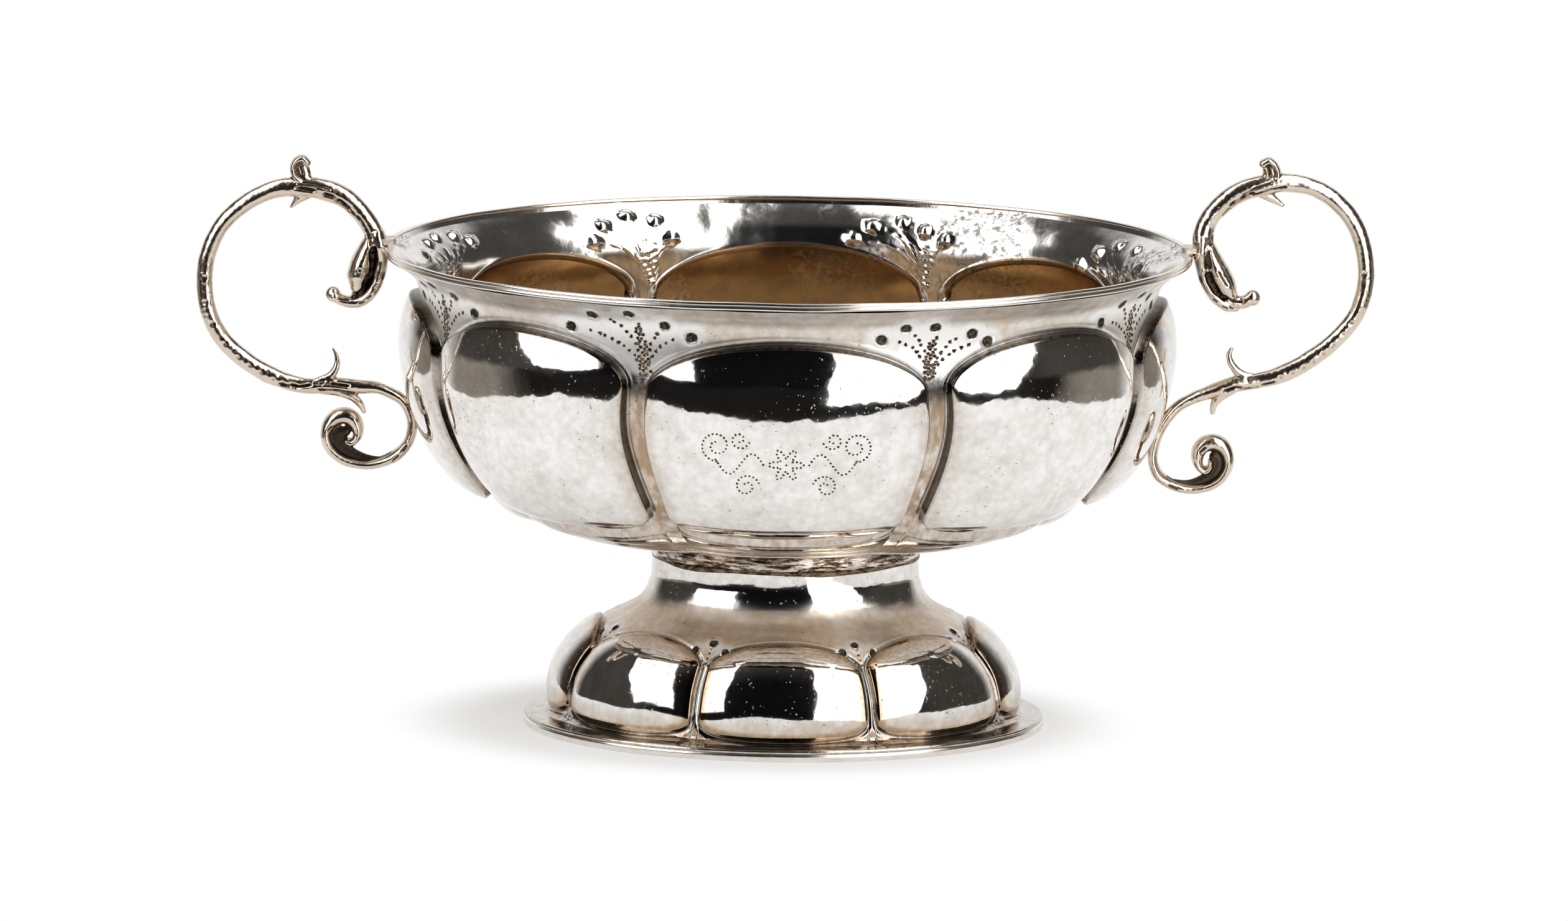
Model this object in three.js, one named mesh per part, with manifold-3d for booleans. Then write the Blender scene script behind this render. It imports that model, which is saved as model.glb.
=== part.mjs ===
// Oval eight-lobed silver brandy bowl on a trumpet foot, with two cast scroll handles.
// Millimetres, +Z up. The origin is where the bowl's upright axis meets the table.
// +X runs through the handles. A length "half" is measured from the axis along X.
import * as THREE from "three";
import { mergeVertices } from "three/addons/utils/BufferGeometryUtils.js";
import Module from "manifold-3d";

const wasm = await Module();
wasm.setup();

// Overall form
const lobeCount = 8;
const ovalRatio = 0.78; // depth over length of every oval section
const wall = 0.8; // thickness of the raised sheet
const seatGap = 0.3; // clearance between two pieces that are soldered together

// Bowl
const lipHeight = 106.6;
const lipWireWidth = 2.4;
const lipWireHeight = 1.8;
const bodyHalf = 81.2; // plain ground of the belly, between the lobes
const throatFlare = 1.1; // how far outside the belly's ground the narrow throat is
const lipFlare = 8.05; // how far outside the belly's ground the lip's edge is
const flareBend = [0.38, 0.62]; // where the flare turns: share out to the lip, share down to the throat
const throatDrop = 7; // from the lip down to the throat
const bodyTopDrop = 10.6; // from the lip down to the top of the belly
const bodyBaseDrop = 0.6; // from the neck down to where the belly's curve would meet the axis
const bodySidePower = 2.2;
const bodyBasePower = 4.3;
const neckHalf = 29.6;
const neckHeight = 41.8;

// Bowl lobes
const lobeRelief = 5.6;
const lobeCrownDrop = 10.2; // from the lip down to the top of a lobe's arch
const lobeSpringDrop = 21.2; // from the lip down to where the arch springs
const lobeBaseLift = 9.4; // from the neck up to a lobe's lower edge
const lobeBaseRise = 4; // how much higher that edge is at the lobe's sides
const bandHalfAngle = 0.027; // half of the narrow ground band between two lobes

// Collar and foot
const collarHeight = 3.4;
const collarWidth = 1.8;
const collarSwell = 0.35;
const footDomeHalf = 51.2; // plain ground of the dome at its base
const footLobeRelief = 2;
const footLobeCrownHeight = 23.6;
const footLobeSpringHeight = 18.2;
const footLobeBaseHeight = 4.6;
const footLobeBaseRise = 4.5;
const flangeWidth = 6; // from the dome's base out to the edge of the sheet
const flangeFall = 0.3; // how much lower the flange is at its edge
const footWireWidth = 2.8;
const footWireHeight = 1.4;
const footWireOverhang = 0.5; // how far the wire stands out past the sheet

// Handles
const ringDepthRatio = 0.97; // thickness along Y over thickness in the handle's own plane
const headDepthRatio = 0.78;
const scrollHalfDepth = 2.6;
const leafHalfDepth = 2.7;
const leafHalfThickness = 0.45;
const lugLength = 3.2;
const lugDepth = 5.2;
const lugThickness = 1.2;

// Mesh fineness
const handleSides = 8;
const wireColumns = 72;
const lipWireSteps = 6;
const roundedEnd = [0.6, 0.75]; // a bar's last ring: how far out and how wide, in half thicknesses
const lobePlaces = [-1, -0.9, -0.66, -0.25, 0.25, 0.66, 0.9, 1]; // columns across one lobe
const bowlRows = {
  above: [0, 0.4, 0.75],
  inLobe: [0, 0.04, 0.13, 0.3, 0.5, 0.7, 0.87, 0.96, 1],
  below: [0.35, 0.7, 1],
};
const footRows = {
  above: [0, 0.22, 0.42, 0.6, 0.78],
  inLobe: [0, 0.07, 0.24, 0.5, 0.76, 0.93, 1],
  below: [0.25, 0.5, 1],
};

const silver = { color: 0xc9c2b4, roughness: 0.24, metalness: 1 };
const gilt = { color: 0xb79d78, roughness: 0.3, metalness: 1 };
const castSilver = { color: 0xb8b1a4, roughness: 0.34, metalness: 1 };
const wireSilver = { color: 0xd6d1c6, roughness: 0.18, metalness: 1 };

// Sizes that follow from those above
const lipHalf = bodyHalf + lipFlare;
const throatHalf = bodyHalf + throatFlare;
const bodyTopHeight = lipHeight - bodyTopDrop;
const bodyBaseHeight = neckHeight - bodyBaseDrop;
const shellTopHeight = lipHeight - lipWireHeight - seatGap;
const shellTopHalf = lipHalf - lipWireWidth / 2;
const collarTop = neckHeight - seatGap;
const footTop = collarTop - collarHeight - seatGap;
const flangeTop = footWireHeight + seatGap + wall;
const flangeHalf = footDomeHalf + flangeWidth;
const footWireHalf = flangeHalf + footWireOverhang;

// A closed skin over rings of equally many points. Each next ring lies forward, so that a step
// round a ring crossed with a step forward points out. With two poles the ends are closed by
// fans, without them the last ring joins the first.
function loft(rings, startPole, endPole) {
  const count = rings[0].length;
  const points = rings.flat();
  const faces = [];
  const last = startPole ? rings.length - 1 : rings.length;
  for (let i = 0; i < last; i++) {
    const a = i * count;
    const b = ((i + 1) % rings.length) * count;
    for (let j = 0; j < count; j++) {
      const k = (j + 1) % count;
      faces.push(a + j, a + k, b + k, a + j, b + k, b + j);
    }
  }
  if (startPole) {
    const end = (rings.length - 1) * count;
    points.push(startPole, endPole);
    for (let j = 0; j < count; j++) {
      const k = (j + 1) % count;
      faces.push(points.length - 2, k, j, points.length - 1, end + j, end + k);
    }
  }
  const geometry = new THREE.BufferGeometry().setFromPoints(points);
  geometry.setIndex(faces);
  return geometry;
}

// A point of the oval whose half length is given, pushed outwards square to the oval by offset.
function ovalPoint(half, height, angle, offset = 0) {
  const out = new THREE.Vector2(ovalRatio * Math.cos(angle), Math.sin(angle)).setLength(offset);
  const x = half * Math.cos(angle) + out.x;
  const y = ovalRatio * half * Math.sin(angle) + out.y;
  return new THREE.Vector3(x, y, height);
}

// A ring-shaped piece: section is a loop of [offset, height] round the oval of half length half,
// listed anticlockwise with the outside on the right.
function ovalRing(half, section) {
  const columns = Array.from({ length: wireColumns }, (_, j) => (2 * Math.PI * j) / wireColumns);
  return loft(section.map(([o, z]) => columns.map((angle) => ovalPoint(half, z, angle, o))));
}

// A meridian line from the top down, as [half, height] points, measured by its arc length.
class Meridian {
  constructor(points) {
    this.points = points;
    this.arcs = [0];
    for (let i = 1; i < points.length; i++) {
      const [dr, dz] = [0, 1].map((k) => points[i][k] - points[i - 1][k]);
      this.arcs.push(this.arcs[i - 1] + Math.hypot(dr, dz));
    }
    this.length = this.arcs.at(-1);
  }

  // The arc length at which the line comes down to a height.
  arcAt(height) {
    const i = Math.max(1, this.points.findIndex(([, z]) => z <= height));
    const [above, below] = [this.points[i - 1][1], this.points[i][1]];
    const part = THREE.MathUtils.clamp((above - height) / (above - below), 0, 1);
    return THREE.MathUtils.lerp(this.arcs[i - 1], this.arcs[i], part);
  }

  // The place at an arc length, moved out square to the line by relief.
  place(arc, relief) {
    const found = this.arcs.findIndex((a) => a >= arc - 1e-9);
    const i = found < 1 ? 1 : found;
    const part = (arc - this.arcs[i - 1]) / (this.arcs[i] - this.arcs[i - 1]);
    const [r0, z0] = this.points[i - 1];
    const [r1, z1] = this.points[i];
    const out = new THREE.Vector2(z0 - z1, r1 - r0).setLength(relief);
    return [THREE.MathUtils.lerp(r0, r1, part) + out.x, THREE.MathUtils.lerp(z0, z1, part) + out.y];
  }
}

// How far a lobe stands out, as a share of its relief: across from edge -1 to edge 1, and down
// from its arched top 0 to its lower edge 1. A pillow with full flanks and rounded edges.
function pillow(across, down) {
  const flank = Math.pow(1 - Math.pow(Math.abs(across), 2.4), 0.7);
  const rise = Math.pow(1 - Math.pow(Math.abs(2 * down - 1), 4.4), 0.6);
  return flank * rise;
}

// The columns round a lobed body: each lobe's places across, closer near its edges. The gap
// from one lobe's last column to the next lobe's first is the ground band.
function lobeColumns() {
  const halfAngle = Math.PI / lobeCount - bandHalfAngle;
  const centres = Array.from({ length: lobeCount }, (_, k) => (2 * Math.PI * k) / lobeCount);
  return centres.flatMap((centre) => lobePlaces.map((s) => ({ s, angle: centre + s * halfAngle })));
}

// Where a lobe begins and ends on the meridian at a place across it: an elliptical arch above,
// and a lower edge that rises round its corners.
function lobeSpan(line, lobe, s) {
  const arch = lobe.spring + (lobe.crown - lobe.spring) * Math.sqrt(1 - s * s);
  const corner = 1 - Math.cbrt(1 - Math.abs(s) ** 3);
  return [line.arcAt(arch), line.arcAt(lobe.base + lobe.baseRise * corner)];
}

// The rings of a lobed body's outer skin, from the top down. Rows follow the lobes' edges.
function lobedRings(line, lobe, rows) {
  const columns = lobeColumns();
  const ringOf = (arcAndDown) =>
    columns.map(({ s, angle }) => {
      const [arc, down] = arcAndDown(...lobeSpan(line, lobe, s));
      const [half, height] = line.place(arc, lobe.relief * pillow(s, down));
      return ovalPoint(half, height, angle);
    });
  return [
    ...rows.above.map((f) => ringOf((top) => [top * f, 0])),
    ...rows.inLobe.map((t) => ringOf((top, base) => [top + (base - top) * t, t])),
    ...rows.below.map((f) => ringOf((top, base) => [base + (line.length - base) * f, 1])),
  ];
}

// The same rings moved inwards by the wall, square to the skin. The highest ring moves level.
function innerRings(rings) {
  const count = rings[0].length;
  const skin = new THREE.BufferGeometry().setFromPoints(rings.flat());
  const faces = [];
  for (let i = 0; i < rings.length - 1; i++) {
    for (let j = 0; j < count; j++) {
      const k = (j + 1) % count;
      const [a, b] = [i * count, (i + 1) * count];
      faces.push(a + j, b + k, a + k, a + j, b + j, b + k);
    }
  }
  skin.setIndex(faces);
  skin.computeVertexNormals();
  const normals = skin.getAttribute("normal");
  return rings.map((ring, i) =>
    ring.map((point, j) => {
      const out = new THREE.Vector3().fromBufferAttribute(normals, i * count + j);
      if (i === 0) out.setZ(0).normalize();
      return point.clone().addScaledVector(out, -wall);
    }),
  );
}

// The bowl's plain ground from under the lip wire to the neck: a flaring lip, a throat, then a
// belly that is a quarter of a superellipse.
function bowlMeridian() {
  const bendHalf = THREE.MathUtils.lerp(throatHalf, lipHalf, flareBend[0]);
  const flare = new THREE.SplineCurve([
    new THREE.Vector2(shellTopHalf, shellTopHeight),
    new THREE.Vector2(bendHalf, lipHeight - throatDrop * flareBend[1]),
    new THREE.Vector2(throatHalf, lipHeight - throatDrop),
    new THREE.Vector2(bodyHalf, bodyTopHeight),
  ]);
  const points = flare.getPoints(30).map((p) => [p.x, p.y]);
  const steps = 90;
  const neckCosine = Math.pow(neckHalf / bodyHalf, bodyBasePower / 2);
  for (let i = 1; i < steps; i++) {
    const angle = (Math.acos(neckCosine) * i) / steps;
    const half = bodyHalf * Math.pow(Math.cos(angle), 2 / bodyBasePower);
    const fall = Math.pow(Math.sin(angle), 2 / bodySidePower);
    points.push([half, bodyTopHeight - (bodyTopHeight - bodyBaseHeight) * fall]);
  }
  const belly = points.filter(([, z]) => z > neckHeight + seatGap);
  return new Meridian([...belly, [neckHalf, neckHeight]]);
}

const bowlLobe = {
  relief: lobeRelief,
  crown: lipHeight - lobeCrownDrop,
  spring: lipHeight - lobeSpringDrop,
  base: neckHeight + lobeBaseLift,
  baseRise: lobeBaseRise,
};

function bowlShell() {
  const outer = lobedRings(bowlMeridian(), bowlLobe, bowlRows);
  const floor = outer.at(-1).map((p) => new THREE.Vector3(p.x / 2, p.y / 2, neckHeight));
  const skin = [...outer, floor];
  const lining = innerRings(skin);
  const under = new THREE.Vector3(0, 0, neckHeight);
  const inside = new THREE.Vector3(0, 0, neckHeight + wall);
  return loft([...skin.reverse(), ...lining], under, inside);
}

// A half-round wire laid along the edge of the bowl, flat underneath and full at its corners.
function lipWire() {
  const halfWidth = lipWireWidth / 2;
  const soft = (value) => Math.sign(value) * Math.sqrt(Math.abs(value));
  const arc = Array.from({ length: lipWireSteps + 1 }, (_, k) => {
    const angle = (Math.PI * k) / lipWireSteps;
    const rise = lipWireHeight * soft(Math.sin(angle));
    return [halfWidth * (soft(Math.cos(angle)) - 1), lipHeight - lipWireHeight + rise];
  });
  return ovalRing(lipHalf, arc);
}

// The band between bowl and foot, a little swollen on the outside.
function collarRing() {
  const bottom = collarTop - collarHeight;
  return ovalRing(neckHalf, [
    [0, bottom],
    [collarSwell, bottom + collarHeight * 0.3],
    [collarSwell, bottom + collarHeight * 0.7],
    [0, collarTop],
    [-collarWidth, collarTop],
    [-collarWidth, bottom],
  ]);
}

// The foot's plain ground: a short stem that opens into a dome, then a nearly flat flange.
function footMeridian() {
  // Shares of the way from the neck out to the dome's base, and of the way from the flange up.
  const shape = [
    [0, 1],
    [0.005, 0.89],
    [0.032, 0.825],
    [0.07, 0.765],
    [0.157, 0.7],
    [0.324, 0.64],
    [0.537, 0.567],
    [0.755, 0.438],
    [0.893, 0.318],
    [0.958, 0.198],
    [0.99, 0.08],
    [1, 0.023],
  ];
  const points = shape.map(([out, up]) => {
    const half = THREE.MathUtils.lerp(neckHalf, footDomeHalf, out);
    return new THREE.Vector2(half, THREE.MathUtils.lerp(flangeTop + flangeFall, footTop, up));
  });
  const dome = new THREE.SplineCurve(points).getPoints(80).map((p) => [p.x, p.y]);
  const root = THREE.MathUtils.lerp(footDomeHalf, flangeHalf, 0.3);
  return new Meridian([...dome, [root, flangeTop + flangeFall / 2], [flangeHalf, flangeTop]]);
}

const footLobe = {
  relief: footLobeRelief,
  crown: footLobeCrownHeight,
  spring: footLobeSpringHeight,
  base: footLobeBaseHeight,
  baseRise: footLobeBaseRise,
};

function footShell() {
  const outer = lobedRings(footMeridian(), footLobe, footRows);
  const lining = innerRings(outer);
  const edge = outer.at(-1).map((p) => new THREE.Vector3(p.x, p.y, flangeTop - wall));
  return loft([...outer.reverse(), ...lining.slice(0, -1), edge]);
}

// The wire that the foot stands on, flat below and above, with a rounded outer edge.
function footWire() {
  return ovalRing(footWireHalf, [
    [-footWireHeight * 0.25, 0],
    [0, footWireHeight * 0.3],
    [0, footWireHeight * 0.7],
    [-footWireHeight * 0.25, footWireHeight],
    [-footWireWidth, footWireHeight],
    [-footWireWidth, 0],
  ]);
}

// A bar along a path in the XZ plane. A path point is [x, z, half thickness in the plane], and
// depthOf gives the half thickness along Y from the place on the path and that thickness.
function bar(path, depthOf) {
  const line = new THREE.CatmullRomCurve3(
    path.map(([x, z]) => new THREE.Vector3(x, 0, z)),
    false,
    "centripetal",
  );
  const steps = Math.max(4, Math.round(1.5 * (path.length - 1)));
  const thickness = (t) => {
    const place = t * (path.length - 1);
    const i = Math.min(Math.floor(place), path.length - 2);
    return THREE.MathUtils.lerp(path[i][2], path[i + 1][2], place - i);
  };
  const section = (t, ahead, scale) => {
    const along = line.getTangent(t);
    const centre = line.getPoint(t).addScaledVector(along, ahead);
    const half = thickness(t);
    return Array.from({ length: handleSides }, (_, j) => {
      const angle = (2 * Math.PI * j) / handleSides;
      const inPlane = half * scale * Math.cos(angle);
      const inDepth = depthOf(t, half) * scale * Math.sin(angle);
      return new THREE.Vector3(centre.x - along.z * inPlane, -inDepth, centre.z + along.x * inPlane);
    });
  };
  const cap = (t, way) => line.getPoint(t).addScaledVector(line.getTangent(t), way * thickness(t));
  const rings = Array.from({ length: steps + 1 }, (_, i) => section(i / steps, 0, 1));
  const [out, width] = roundedEnd;
  rings.unshift(section(0, -out * thickness(0), width));
  rings.push(section(1, out * thickness(1), width));
  return loft(rings, cap(0, -1), cap(1, 1));
}

// A geometry as a solid that can be joined or cut.
function solid(geometry) {
  const merged = mergeVertices(geometry, 1e-4);
  return new wasm.Manifold(
    new wasm.Mesh({
      numProp: 3,
      vertProperties: merged.getAttribute("position").array,
      triVerts: new Uint32Array(merged.index.array),
    }),
  );
}

function fromSolid(made) {
  const mesh = made.getMesh();
  const geometry = new THREE.BufferGeometry();
  geometry.setAttribute("position", new THREE.BufferAttribute(mesh.vertProperties, 3));
  return geometry.setIndex(new THREE.BufferAttribute(mesh.triVerts, 1));
}

// The two castings. Points are [out from the lip, up from the lip, half thickness].
const leftCasting = {
  head: [
    [11.6, -12.1, 1.5],
    [9.1, -12.3, 1.1],
    [6.8, -11, 2.1],
    [4.8, -7.1, 3.7],
    [3.1, -3.3, 3.1],
    [2.4, 0.1, 2.13],
  ],
  ring: [
    [3.1, -3.3, 1.9],
    [2.4, 0.1, 2.13],
    [3, 2.9, 1.92],
    [5.2, 6.6, 2.13],
    [8.4, 9.8, 2.27],
    [12.1, 11.6, 2.4],
    [18, 12.6, 2.3],
    [24.9, 11.9, 2],
    [31.3, 8.6, 1.86],
    [36.3, 3.7, 1.74],
    [39.3, -3, 1.81],
    [39.9, -9, 1.81],
    [39.1, -15.2, 1.79],
    [36, -21.5, 1.86],
    [31.5, -25.8, 1.95],
    [25.2, -29.7, 1.99],
    [18.2, -31.9, 1.72],
    [12, -31.9, 1.76],
  ],
  scroll: [
    [14.5, -31.9, 1.72],
    [10.4, -31.8, 1.79],
    [5.4, -32.1, 1.58],
    [1.5, -32.3, 1.31],
    [-1.6, -33.5, 1.24],
    [-4, -35, 1.26],
    [-5.5, -37.4, 1.13],
    [-6.2, -40.6, 1.13],
    [-5.4, -44.2, 1.03],
    [-3.1, -47, 1.31],
    [0.2, -49, 1.3],
    [4, -49.8, 0.95],
    [8, -49, 0.8],
    [11, -46.4, 0.82],
    [12.7, -42.6, 0.96],
    [12.1, -39.5, 1.15],
    [9.8, -38, 1.48],
    [7, -39.2, 1.48],
    [6, -41.4, 1.24],
    [7.4, -43.9, 0.85],
  ],
  upperThorn: [
    [14.6, -31.4, 1.5],
    [11.8, -29, 1.3],
    [10.4, -26.2, 0.85],
    [11.6, -23.4, 0.3],
  ],
  lowerThorn: [
    [8.3, -31.6, 1.4],
    [5.7, -34.5, 0.95],
    [4, -37.2, 0.3],
  ],
  innerThorn: [
    [17, 11.5, 1.5],
    [19.3, 9.9, 1],
    [20.7, 8, 0.3],
  ],
  leaf: [
    [18.4, 12.4],
    [20.3, 15.6],
    [20.6, 18],
    [19.4, 19.1],
    [18, 18.2],
  ],
};

const rightCasting = {
  head: [
    [13.2, -9.6, 1.55],
    [10, -9.8, 1.25],
    [7.5, -8.4, 2.1],
    [5.1, -5.2, 3.57],
    [3.3, -1.7, 3.1],
    [1.9, 1.8, 2.13],
  ],
  ring: [
    [3.3, -1.7, 1.9],
    [2, 1.8, 2.13],
    [1.9, 4.3, 2.06],
    [3.1, 7.6, 1.99],
    [5.9, 10.9, 2.2],
    [9.4, 13.8, 2.34],
    [14.6, 15.6, 2.3],
    [20.5, 16.3, 2.05],
    [26.9, 14.8, 1.92],
    [32, 11.2, 1.92],
    [35.7, 5.8, 1.86],
    [37.5, -1, 1.86],
    [37.5, -7.4, 1.83],
    [35.5, -13.6, 1.79],
    [31.8, -18.7, 1.82],
    [26.4, -23.2, 1.95],
    [20, -26.8, 1.95],
    [15, -28.3, 1.72],
    [9.5, -29.2, 1.8],
  ],
  scroll: [
    [11.6, -28.8, 1.79],
    [8.7, -29.5, 1.86],
    [6, -30.4, 1.72],
    [2.8, -31.5, 1.44],
    [-0.1, -32.7, 1.31],
    [-3, -34.4, 1.24],
    [-5.2, -36.7, 1.28],
    [-6.9, -39.6, 1.2],
    [-8.3, -43.6, 1.2],
    [-8.4, -46.9, 1.17],
    [-7.3, -49.7, 1.24],
    [-4.9, -51.6, 1.2],
    [-1.3, -52.7, 0.96],
    [2.6, -52.5, 0.8],
    [6.5, -50.4, 0.82],
    [8.8, -46.8, 0.96],
    [8.7, -43.5, 1.12],
    [6.5, -41, 1.5],
    [3.6, -41.3, 1.5],
    [1.8, -43.8, 1.24],
    [3.2, -46.8, 0.85],
  ],
  upperThorn: [
    [13.4, -28.6, 1.5],
    [9.8, -27, 1.3],
    [7.8, -24.7, 0.85],
    [8, -22, 0.3],
  ],
  lowerThorn: [
    [7, -30.8, 1.4],
    [4.8, -33.6, 0.95],
    [3.6, -35.9, 0.3],
  ],
  innerThorn: [
    [15.4, 14.6, 1.5],
    [17.6, 13, 1],
    [19, 11.3, 0.3],
  ],
  leaf: [
    [17.2, 16.2],
    [17.9, 19.4],
    [17.3, 21.6],
    [15.6, 22.3],
    [14.5, 21.3],
  ],
};

const allPoints = (casting) => [...casting.head, ...casting.ring, ...casting.scroll];

// How far out a casting has to stand for its nearest place to clear the bowl's end lobe, and the
// lip wire, by the seat gap. The end outline is taken as a row of points.
function seatShift(casting) {
  const line = bowlMeridian();
  const [top, base] = lobeSpan(line, bowlLobe, 0);
  const steps = 60;
  const outline = Array.from({ length: steps + 1 }, (_, i) => {
    const down = i / steps;
    return line.place(top + (base - top) * down, lobeRelief * pillow(0, down));
  });
  outline.push([lipHalf, lipHeight - lipWireHeight], [lipHalf, lipHeight - lipWireHeight / 2]);
  const shifts = allPoints(casting).flatMap(([x, z, half]) =>
    outline.map(([wallX, wallZ]) => {
      const reach = Math.max(0, (half + seatGap) ** 2 - (lipHeight + z - wallZ) ** 2);
      return reach ? wallX + Math.sqrt(reach) - (lipHalf + x) : -Infinity;
    }),
  );
  return Math.max(...shifts);
}

function handle(casting) {
  const shift = lipHalf + seatShift(casting);
  const placed = (path) => path.map(([x, z, half]) => [x + shift, z + lipHeight, half]);
  const leafPath = casting.leaf.map(([x, z]) => [x, z, leafHalfThickness]);
  const round = (_, half) => half * ringDepthRatio;
  const strap = (t, half) => THREE.MathUtils.lerp(half, scrollHalfDepth, Math.min(1, 2.5 * t));
  const pieces = [
    bar(placed(casting.head), (_, half) => half * headDepthRatio),
    bar(placed(casting.ring), round),
    bar(placed(casting.scroll), strap),
    bar(placed(casting.upperThorn), round),
    bar(placed(casting.lowerThorn), round),
    bar(placed(casting.innerThorn), round),
    bar(placed(leafPath), (t) => leafHalfDepth * (1 - 0.35 * t)),
  ];
  return fromSolid(pieces.map(solid).reduce((whole, piece) => whole.add(piece)));
}

// The small tongue on the rim that a handle's neck is soldered to. It lies on the lip wire and
// ends just short of the neck.
function rimLug(casting) {
  const low = lipHeight + seatGap;
  const high = low + lugThickness;
  const shift = lipHalf + seatShift(casting);
  const neck = new THREE.CatmullRomCurve3(
    casting.ring.slice(0, 5).map(([x, z, half]) => new THREE.Vector3(x + shift, half, z + lipHeight)),
    false,
    "centripetal",
  ).getPoints(40);
  const near = neck.filter((p) => p.z > low - p.y && p.z < high + p.y);
  const neckSide = Math.min(...near.map((p) => p.x - p.y)) - seatGap;
  const outline = new THREE.Shape();
  const [inner, side] = [neckSide - lugLength, lugDepth / 2];
  outline.moveTo(neckSide, -side);
  outline.lineTo(neckSide, side);
  outline.lineTo(inner + side / 2, side);
  outline.quadraticCurveTo(inner, side, inner, 0);
  outline.quadraticCurveTo(inner, -side, inner + side / 2, -side);
  const geometry = new THREE.ExtrudeGeometry(outline, { depth: lugThickness, bevelEnabled: false });
  return geometry.translate(0, 0, low);
}

function piece(name, geometry, look) {
  const mesh = new THREE.Mesh(geometry, new THREE.MeshStandardMaterial(look));
  mesh.name = name;
  return mesh;
}

const bowl = new THREE.Group();
bowl.add(
  piece("bowl_shell", bowlShell(), gilt),
  piece("lip_wire", lipWire(), wireSilver),
  piece("collar_ring", collarRing(), silver),
  piece("foot_shell", footShell(), silver),
  piece("foot_wire", footWire(), wireSilver),
);

const rightSide = new THREE.Group();
rightSide.add(
  piece("handle_right", handle(rightCasting), castSilver),
  piece("rim_lug_right", rimLug(rightCasting), silver),
);

// The left casting is written facing right, and half a turn brings it to its own side.
const leftSide = new THREE.Group();
leftSide.rotation.z = Math.PI;
leftSide.add(
  piece("handle_left", handle(leftCasting), castSilver),
  piece("rim_lug_left", rimLug(leftCasting), silver),
);
bowl.add(leftSide, rightSide);

export default bowl;
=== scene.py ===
"""An oval, eight-lobed silver brandy bowl on a lobed foot, with two cast scroll handles.

Lengths in the tables and formulas are millimetres; meshes are written in metres. +X runs
through the handles, +Y away from the photographed side, +Z up from the table."""

import math

import bpy
import numpy as np
from mathutils import Matrix, Vector


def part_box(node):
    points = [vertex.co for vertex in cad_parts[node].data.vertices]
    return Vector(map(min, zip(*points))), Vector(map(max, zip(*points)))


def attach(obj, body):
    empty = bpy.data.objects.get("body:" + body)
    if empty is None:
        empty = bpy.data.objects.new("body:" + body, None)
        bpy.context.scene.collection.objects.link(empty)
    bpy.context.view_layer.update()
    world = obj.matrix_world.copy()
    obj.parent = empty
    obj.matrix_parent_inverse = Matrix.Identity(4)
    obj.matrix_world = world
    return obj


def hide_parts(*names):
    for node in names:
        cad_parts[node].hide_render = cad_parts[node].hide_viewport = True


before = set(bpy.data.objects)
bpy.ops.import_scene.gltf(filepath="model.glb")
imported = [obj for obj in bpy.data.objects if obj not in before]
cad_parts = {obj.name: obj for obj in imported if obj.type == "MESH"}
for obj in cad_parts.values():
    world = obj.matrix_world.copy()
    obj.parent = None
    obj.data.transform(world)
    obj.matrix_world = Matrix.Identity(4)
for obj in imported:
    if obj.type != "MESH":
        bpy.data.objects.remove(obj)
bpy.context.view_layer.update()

MM = 0.001


# Sizes in mm. The nodes' boxes give the outer ones, to a hundredth, and the widths and gaps of
# the CAD give those between them.
def node_corners(node):
    """Lowest and highest corner of a CAD node in mm."""
    return [np.round(np.array(corner) / MM, 2).tolist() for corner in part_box(node)]


LOBES = 8
WALL = 0.8
SEAT_GAP = 0.3  # between two pieces that are soldered together
LIP_WIRE_WIDTH, FOOT_WIRE_WIDTH = 2.4, 2.8
lip_lowest, (LIP_HALF, lip_depth, LIP_HEIGHT) = node_corners("lip_wire")
LIP_WIRE_HEIGHT = LIP_HEIGHT - lip_lowest[2]
RATIO = round(lip_depth / LIP_HALF, 2)  # depth over length of every oval section
(_, _, NECK_HEIGHT), (_, _, SHELL_TOP) = node_corners("bowl_shell")
SHELL_TOP_HALF = LIP_HALF - LIP_WIRE_WIDTH / 2
BODY_HALF = LIP_HALF - 8.05  # plain ground of the belly, between the lobes
BODY_TOP, BODY_BASE = LIP_HEIGHT - 10.6, NECK_HEIGHT - 0.6
SIDE_POWER, BASE_POWER = 2.2, 4.3
THROAT_HALF, THROAT_DROP = BODY_HALF + 1.1, 7.0
UNDERSIDE_RISE, UNDERSIDE_HALF, UNDERSIDE_REACH = 1.15, 42, 9
BOW_HEIGHT, BOW_REACH = NECK_HEIGHT + 34.2, 15  # where the valleys bow most
COLLAR_WIDTH, COLLAR_SWELL = 1.8, 0.35
(_, _, COLLAR_FOOT), (collar_half, _, COLLAR_TOP) = node_corners("collar_ring")
NECK_HALF = collar_half - COLLAR_SWELL
FOOT_TOP = node_corners("foot_shell")[1][2]
FOOT_WIRE_HALF, _, FOOT_WIRE_HEIGHT = node_corners("foot_wire")[1]
FLANGE_TOP, FLANGE_FALL = FOOT_WIRE_HEIGHT + SEAT_GAP + WALL, 0.3
FLANGE_HALF = FOOT_WIRE_HALF - 0.5
DOME_HALF = FLANGE_HALF - 6

# A lobe: how far it stands out, the heights of its arch's crown and spring and of its lower
# edge, how much higher that edge is at the sides, how far the valleys bow, half the angle of
# the band beside it, and the height and reach of the shoulder along its outline
BOWL_LOBE = dict(
    relief=3.6, crown=LIP_HEIGHT - 10, spring=LIP_HEIGHT - 21.2, base=NECK_HEIGHT + 10.9,
    base_rise=5.4, bow=0.048, band=0.027, shoulder=2.1, reach=0.6,
)
FOOT_LOBE = dict(
    relief=1.6, crown=FOOT_TOP - 14.2, spring=FOOT_TOP - 19.6, base=FLANGE_TOP + 0.8,
    base_rise=4.9, bow=0.0, band=0.014, shoulder=0.6, reach=0.5,
)


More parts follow.
